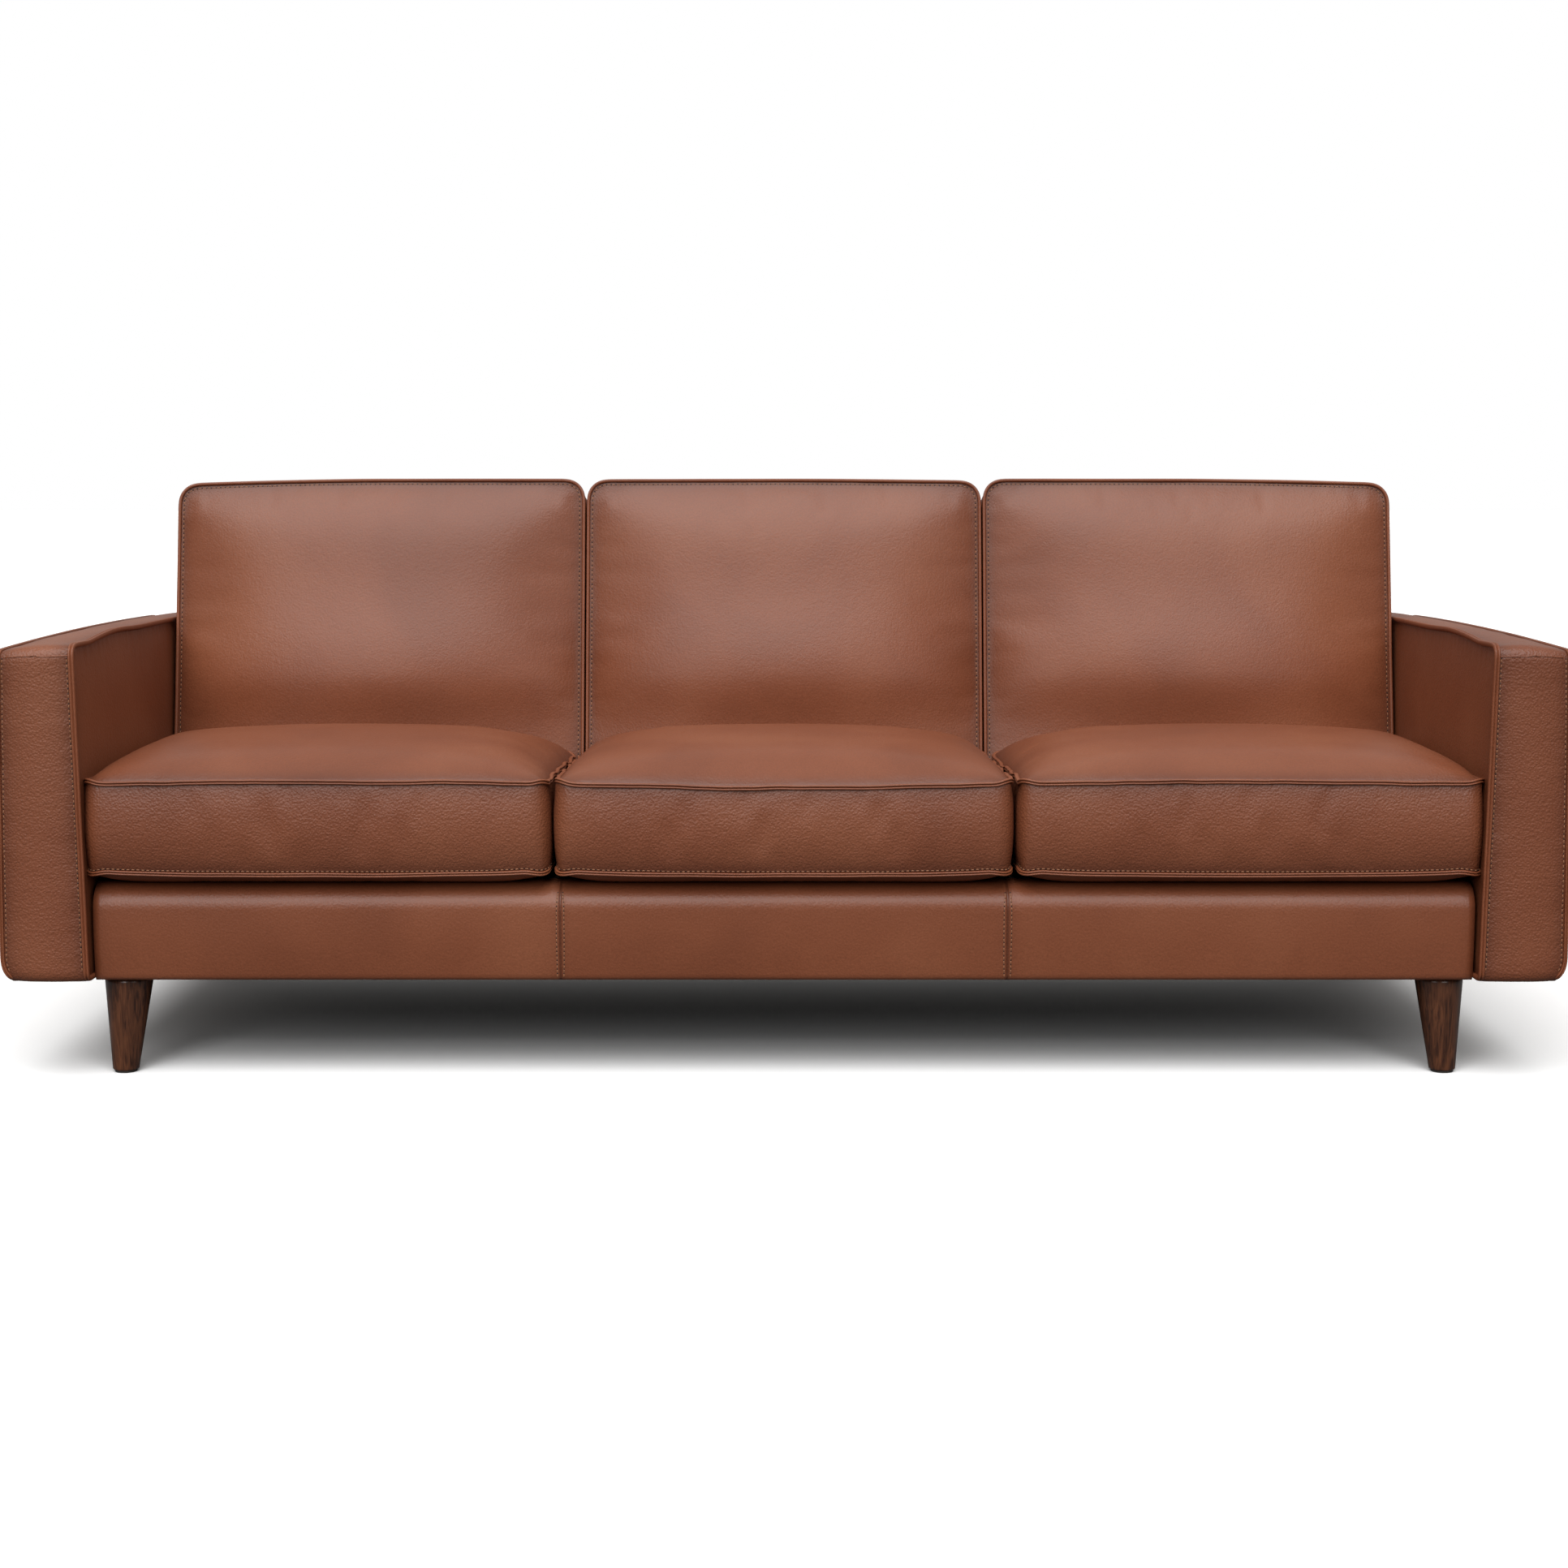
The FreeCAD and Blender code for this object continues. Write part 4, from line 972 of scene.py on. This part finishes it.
inflate(list(seats), 2.4, 0.014, 0.003, on_the_deck)
for cover, (place, seed, width, depth, low, high) in seats.items():
    joins = SEAT_JOINS[place]

    def seat_pucker(point):
        """How deeply the leather gathers: most along the cushion's two sides."""
        return 0.0011 + 0.0026 * (abs(point.x) / (width / 2)) ** 14

    def crumple(point):
        """The lip's waves, stronger where it is squeezed between two cushions."""
        joined = joins[1] if point.x > 0 else joins[0]
        crowded = joined * max(0.0, (abs(point.x) - width / 2 + 0.03) / 0.03) ** 2
        size = 0.0006 + 0.0042 * crowded
        inwards = math.copysign(0.0012 * crowded, point.x)
        return Vector((0.7 * size * wander(0, point.y, 1, seed, 0.03) - inwards, 0,
                       size * 1.3 * wander(point.x, point.y, 2, seed, 0.034) + 0.0015 * crowded))

    def waver(point):
        """The slight waves of the bottom lip."""
        return Vector((0, 0, 0.0008 * wander(point.x, point.y, 0, seed, 0.09)))

    (top_path, low_path), skin = refine(cover, seat_pucker, seed)
    stitch_path = [p + Vector((0, 0, STITCH_UP)) for p in low_path]
    parts = [cover,
             lip_seam(f"seat_lip_top_{place}", top_path, SEAT_LIPS[0], ripple=crumple),
             lip_seam(f"seat_lip_bottom_{place}", low_path, SEAT_LIPS[1], ripple=waver),
             stitch_row(f"seat_stitches_{place}", stitch_path, skin, SEAT_PITCH)]
    bench = Matrix.Translation(((low.x + high.x) / 2, (low.y + high.y) / 2, low.z + SEAT_UNDER))
    settle_in(bench, f"seat_cushion_{place}", *parts)
    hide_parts(f"seat_cushion_cover_{place}", f"seat_cushion_core_{place}")

# ---- the back cushions ----
# Three loose cushions that lean on the back: a front panel fuller towards its foot inside a topstitched
# flange, a deep band and a flat rear panel, filled with fibre over foam.

BACK_CELL = 0.0110
BACK_SIDE = 0.0030
BACK_REAR = 0.008
BACK_CORNER = 0.030
BACK_LONG = 0.560
BACK_THICK = 0.175
BACK_CROWN = 0.034
BACK_BELLY = 0.027
BELLY_PLACE = -0.19
BACK_EASE = {"left": (-0.002, 0.0085), "centre": (0.0085, -0.0085), "right": (-0.0085, 0.002)}
BACK_LOW = 0.006
BACK_LEAN = math.radians(11)
BACK_FOOT = (0.255, 0.2855)
BACK_FLANGE = 0.0062
BACK_LIPS = (0.74, 0.60)
BACK_SEAM_SHADE_SPREAD = 0.013
BACK_PITCH = 0.0078
BACK_DROP = {"left": (0.008, 0.0), "centre": (0.001, 0.003), "right": (0.0, 0.007)}

backs = {}
for seed, place in enumerate(("left", "centre", "right"), 31):
    low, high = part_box(f"back_cushion_cover_{place}")
    low.x += BACK_EASE[place][0]
    high.x += BACK_EASE[place][1]
    width = high.x - low.x
    drop = BACK_DROP[place]

    def back_shape(x, y, z, half_x, half_y, high):
        """The cushion as sewn: a front panel with a low belly, a band that fills out, and a flat rear."""
        share = z / high
        u, v = min(1, abs(x) / half_x), y / half_y
        inner_u = min(1.0, abs(x) / (half_x - BACK_FLANGE))
        inner_v = max(-1.0, min(1.0, y / (half_y - BACK_FLANGE)))
        across = 0.62 * (1 - inner_u ** 2.0) + 0.38 * (1 - inner_u ** 5)
        fall = max(0.0, across * (1 - abs(inner_v) ** 5))
        from_belly = (inner_v - BELLY_PLACE) / (0.24 if inner_v < BELLY_PLACE else 0.44)
        belly = BACK_BELLY * math.exp(-from_belly ** 2) * across
        away = outward(x, y, half_x, half_y, BACK_CORNER) * BACK_SIDE * bulge(share)
        rise = 0.0
        if share > 0.999:
            rise += BACK_CROWN * fall ** 0.62 + (belly - BACK_LOW) * fall ** 0.2
        if share < 0.001:
            rise -= 0.9 * BACK_REAR * fall ** 0.3
        if share > 0.5:
            rise += 0.0012 * max(u, abs(v)) ** 10 * wander(x, y, 0, seed, 0.12)
        top = max(0.0, (v + 1) / 2) ** 2
        sink = (drop[0] if x < 0 else drop[1]) * u ** 1.6 * top
        return Vector((x + away.x, y + away.y - sink, z + rise))

    cover = box_cover(f"back_leather_{place}", width - 2 * BACK_SIDE, BACK_LONG - 2 * BACK_SIDE,
                      BACK_THICK - BACK_REAR, BACK_CELL, BACK_CORNER, back_shape, flange=BACK_FLANGE)
    cover["seam_split"] = BACK_THICK / 2
    backs[cover] = (place, seed, width, low, high)


def on_the_back(cover, point):
    """Keeps a back cushion's leather between its neighbours and against the back."""
    width = backs[cover][2]
    point.x = min(max(point.x, -width / 2), width / 2)
    point.y = min(max(point.y, 0.0005 - BACK_LONG / 2), BACK_LONG / 2 + 0.002)
    point.z = max(point.z, 0.0005 - BACK_REAR)
    return point


inflate(list(backs), 1.6, 0.010, 0.003, on_the_back)
for cover, (place, seed, width, low, high) in backs.items():

    def back_pucker(point):
        """The leather gathers a little all round and more at the side seams and low corners."""
        by_side = max(0.0, abs(point.x) / (width / 2)) ** 12
        low_down = max(0.0, -point.y / (BACK_LONG / 2)) ** 2
        return 0.0009 + 0.0013 * by_side * (0.4 + low_down)

    def inward(point):
        """The place on the front panel's flange where a point of its seam is topstitched."""
        away = outward(point.x, point.y, width / 2 - BACK_SIDE, BACK_LONG / 2 - BACK_SIDE, BACK_CORNER)
        return point - away * (BACK_FLANGE - 0.0002) + Vector((0, 0, 0.001))

    def waver(point):
        """The slight waves of the front lip."""
        return Vector((0, 0, 0.0007 * wander(point.x, point.y, 0, seed, 0.08)))

    (front_path, rear_path), skin = refine(cover, back_pucker, seed, shade_spread=BACK_SEAM_SHADE_SPREAD)
    parts = [cover,
             lip_seam(f"back_lip_front_{place}", front_path, BACK_LIPS[0], ripple=waver),
             lip_seam(f"back_lip_rear_{place}", rear_path, BACK_LIPS[1]),
             stitch_row(f"back_stitches_{place}", [inward(p) for p in front_path], skin, BACK_PITCH)]
    lean = Matrix.Translation(((low.x + high.x) / 2, *BACK_FOOT)) @ Matrix(
        ((1, 0, 0, 0), (0, math.sin(BACK_LEAN), -math.cos(BACK_LEAN), 0),
         (0, math.cos(BACK_LEAN), math.sin(BACK_LEAN), 0), (0, 0, 0, 1)))
    bench = lean @ Matrix.Translation((0, BACK_LONG / 2, BACK_REAR))
    settle_in(bench, f"back_cushion_{place}", *parts)
    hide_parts(f"back_cushion_cover_{place}", f"back_cushion_core_{place}")

# ---- the leather on the back ----
# One large panel, joined from three lengths by felled seams, covers the rear of the sofa; a band sewn to its
# top and ends folds forward over the timber and is stapled where the cushions hide it. A plain hide faces
# the cushions.

REAR_CELL = 0.0150
REAR_ROUND = 0.010
REAR_FULL = 0.0035
REAR_BAND_FULL = 0.0022
REAR_LIP = 0.8
REAR_EDGE_PITCH = 0.0080
REAR_SEAM_PITCH = 0.0072

dress(smooth_hide, "inner_back_cover")
low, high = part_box("outside_back_cover")
rear_wide, rear_tall = high.x - low.x, high.z - low.z
rear_deep = high.y - low.y
deck_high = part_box("seat_deck")[1].z
arm_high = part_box("arm_cover_left")[1].z
lean = math.tan(BACK_LEAN)


def band_front(z):
    """Y of the band's front edge at a height: it follows the back's lean, and tucks in under the deck."""
    return high.y - 0.006 if z < deck_high else low.y + 0.002 + (z - deck_high) * lean


bm = even_block(rear_wide, rear_tall, rear_deep, REAR_CELL)
half_x, half_y = rear_wide / 2, rear_tall / 2
gone = [f for f in bm.faces if f.calc_center_median().z < 1e-5
        or f.calc_center_median().y < 1e-5 - half_y]
bmesh.ops.delete(bm, geom=gone, context="FACES")
cut_for_seams(bm)
seam_shade = bm.verts.layers.float.new("seam")
for vert in bm.verts:
    x, y, z = vert.co
    share = z / rear_deep
    world_z = low.z + y + half_y
    x2, y2 = (x, y) if y < 0 else round_corner(x, y, half_x, half_y, REAR_ROUND)
    on_rear = share > 0.999
    from_edge = min(half_x - abs(x), half_y - y) if on_rear else rear_deep * (1 - share)
    front = min(band_front(world_z), high.y - 0.004)
    depth = high.y - front
    new_z = rear_deep - depth * (1 - share)
    if on_rear:
        from_seam = off_seam(x)
        swell = max(0.0, (1 - (abs(x) / half_x) ** 16) * (1 - (abs(y) / half_y) ** 10)) ** 0.6
        new_z += REAR_FULL * swell + 0.0009 * swell * wander(x, y, 0, 61, 0.14)
        new_z += swell * felled_dip(from_seam)
        # painted shade: darker in the felled seams' valleys and towards the panel's edges
        vert[seam_shade] = 0.7 * math.exp(-(from_seam / 0.0024) ** 2) + 0.5 * math.exp(-from_edge / 0.02)
    else:
        out = REAR_BAND_FULL * math.sin(math.pi * share)
        if abs(x) > half_x - 1e-5 and world_z > arm_high:
            x2 += math.copysign(out, x)
        if y > half_y - 1e-5:
            y2 += out
        # painted shade: the band darker towards its fold at the rear panel's edge
        vert[seam_shade] = 0.5 * math.exp(-from_edge / 0.02)
    vert.co = (x2, y2, new_z)
rear_area = sum(face.calc_area() for face in bm.faces)
bm.normal_update()
back_skin = BVHTree.FromBMesh(bm)
back_leather = keep_mesh("outside_back_leather", bm, [pebbled_hide])
give_thickness(back_leather)
# the lip runs up one end, over the top and down the other end
lip_low = arm_high - low.z - half_y + 0.004
climb = [Vector((half_x, lip_low + k * (half_y - REAR_ROUND - lip_low) / 40, rear_deep)) for k in range(41)]
turn = [Vector((half_x - REAR_ROUND + REAR_ROUND * math.cos(a * math.pi / 16),
                half_y - REAR_ROUND + REAR_ROUND * math.sin(a * math.pi / 16), rear_deep))
        for a in range(1, 8)]
top = [Vector(((1 - k / 190) * (half_x - REAR_ROUND), half_y, rear_deep)) for k in range(381)]
mirror = [Vector((-p.x, p.y, p.z)) for p in reversed(climb + turn)]
edge_line = climb + turn + top + mirror


def edge_waver(point):
    """The slight waves of the lip round the outside back."""
    return Vector((0, 0, 0.0006 * wander(point.x, point.y, 0, 71, 0.1)))


back_parts = [back_leather,
              lip_seam("back_lip_outside", edge_line, REAR_LIP, closed=False, ripple=edge_waver)]
inner_line = [p - outward(p.x, p.y, half_x, half_y, REAR_ROUND) * 0.007 for p in edge_line]
inner_line = [Vector((p.x, p.y, rear_deep + 0.004)) for p in inner_line]
back_parts.append(stitch_row("back_edge_stitches", inner_line, back_skin, REAR_EDGE_PITCH, False,
                             STITCH_SINK))
for row, x in felled_rows():
    line = [Vector((x, -half_y + 0.012 + k * (rear_tall - 0.026) / 60, rear_deep + 0.004)) for k in range(61)]
    back_parts.append(stitch_row(f"back_seam_stitches_{row}", line, back_skin, REAR_SEAM_PITCH, False,
                                 STITCH_SINK))
bench = Matrix(((-1, 0, 0, 0), (0, 0, 1, low.y), (0, 1, 0, low.z + half_y), (0, 0, 0, 1)))
settle_in(bench, "frame", *back_parts)
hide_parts("outside_back_cover", "back_top_padding")

# ---- the finished size ----
# The box of the finished sofa; the box of the CAD frame was found at the start.

low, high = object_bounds()
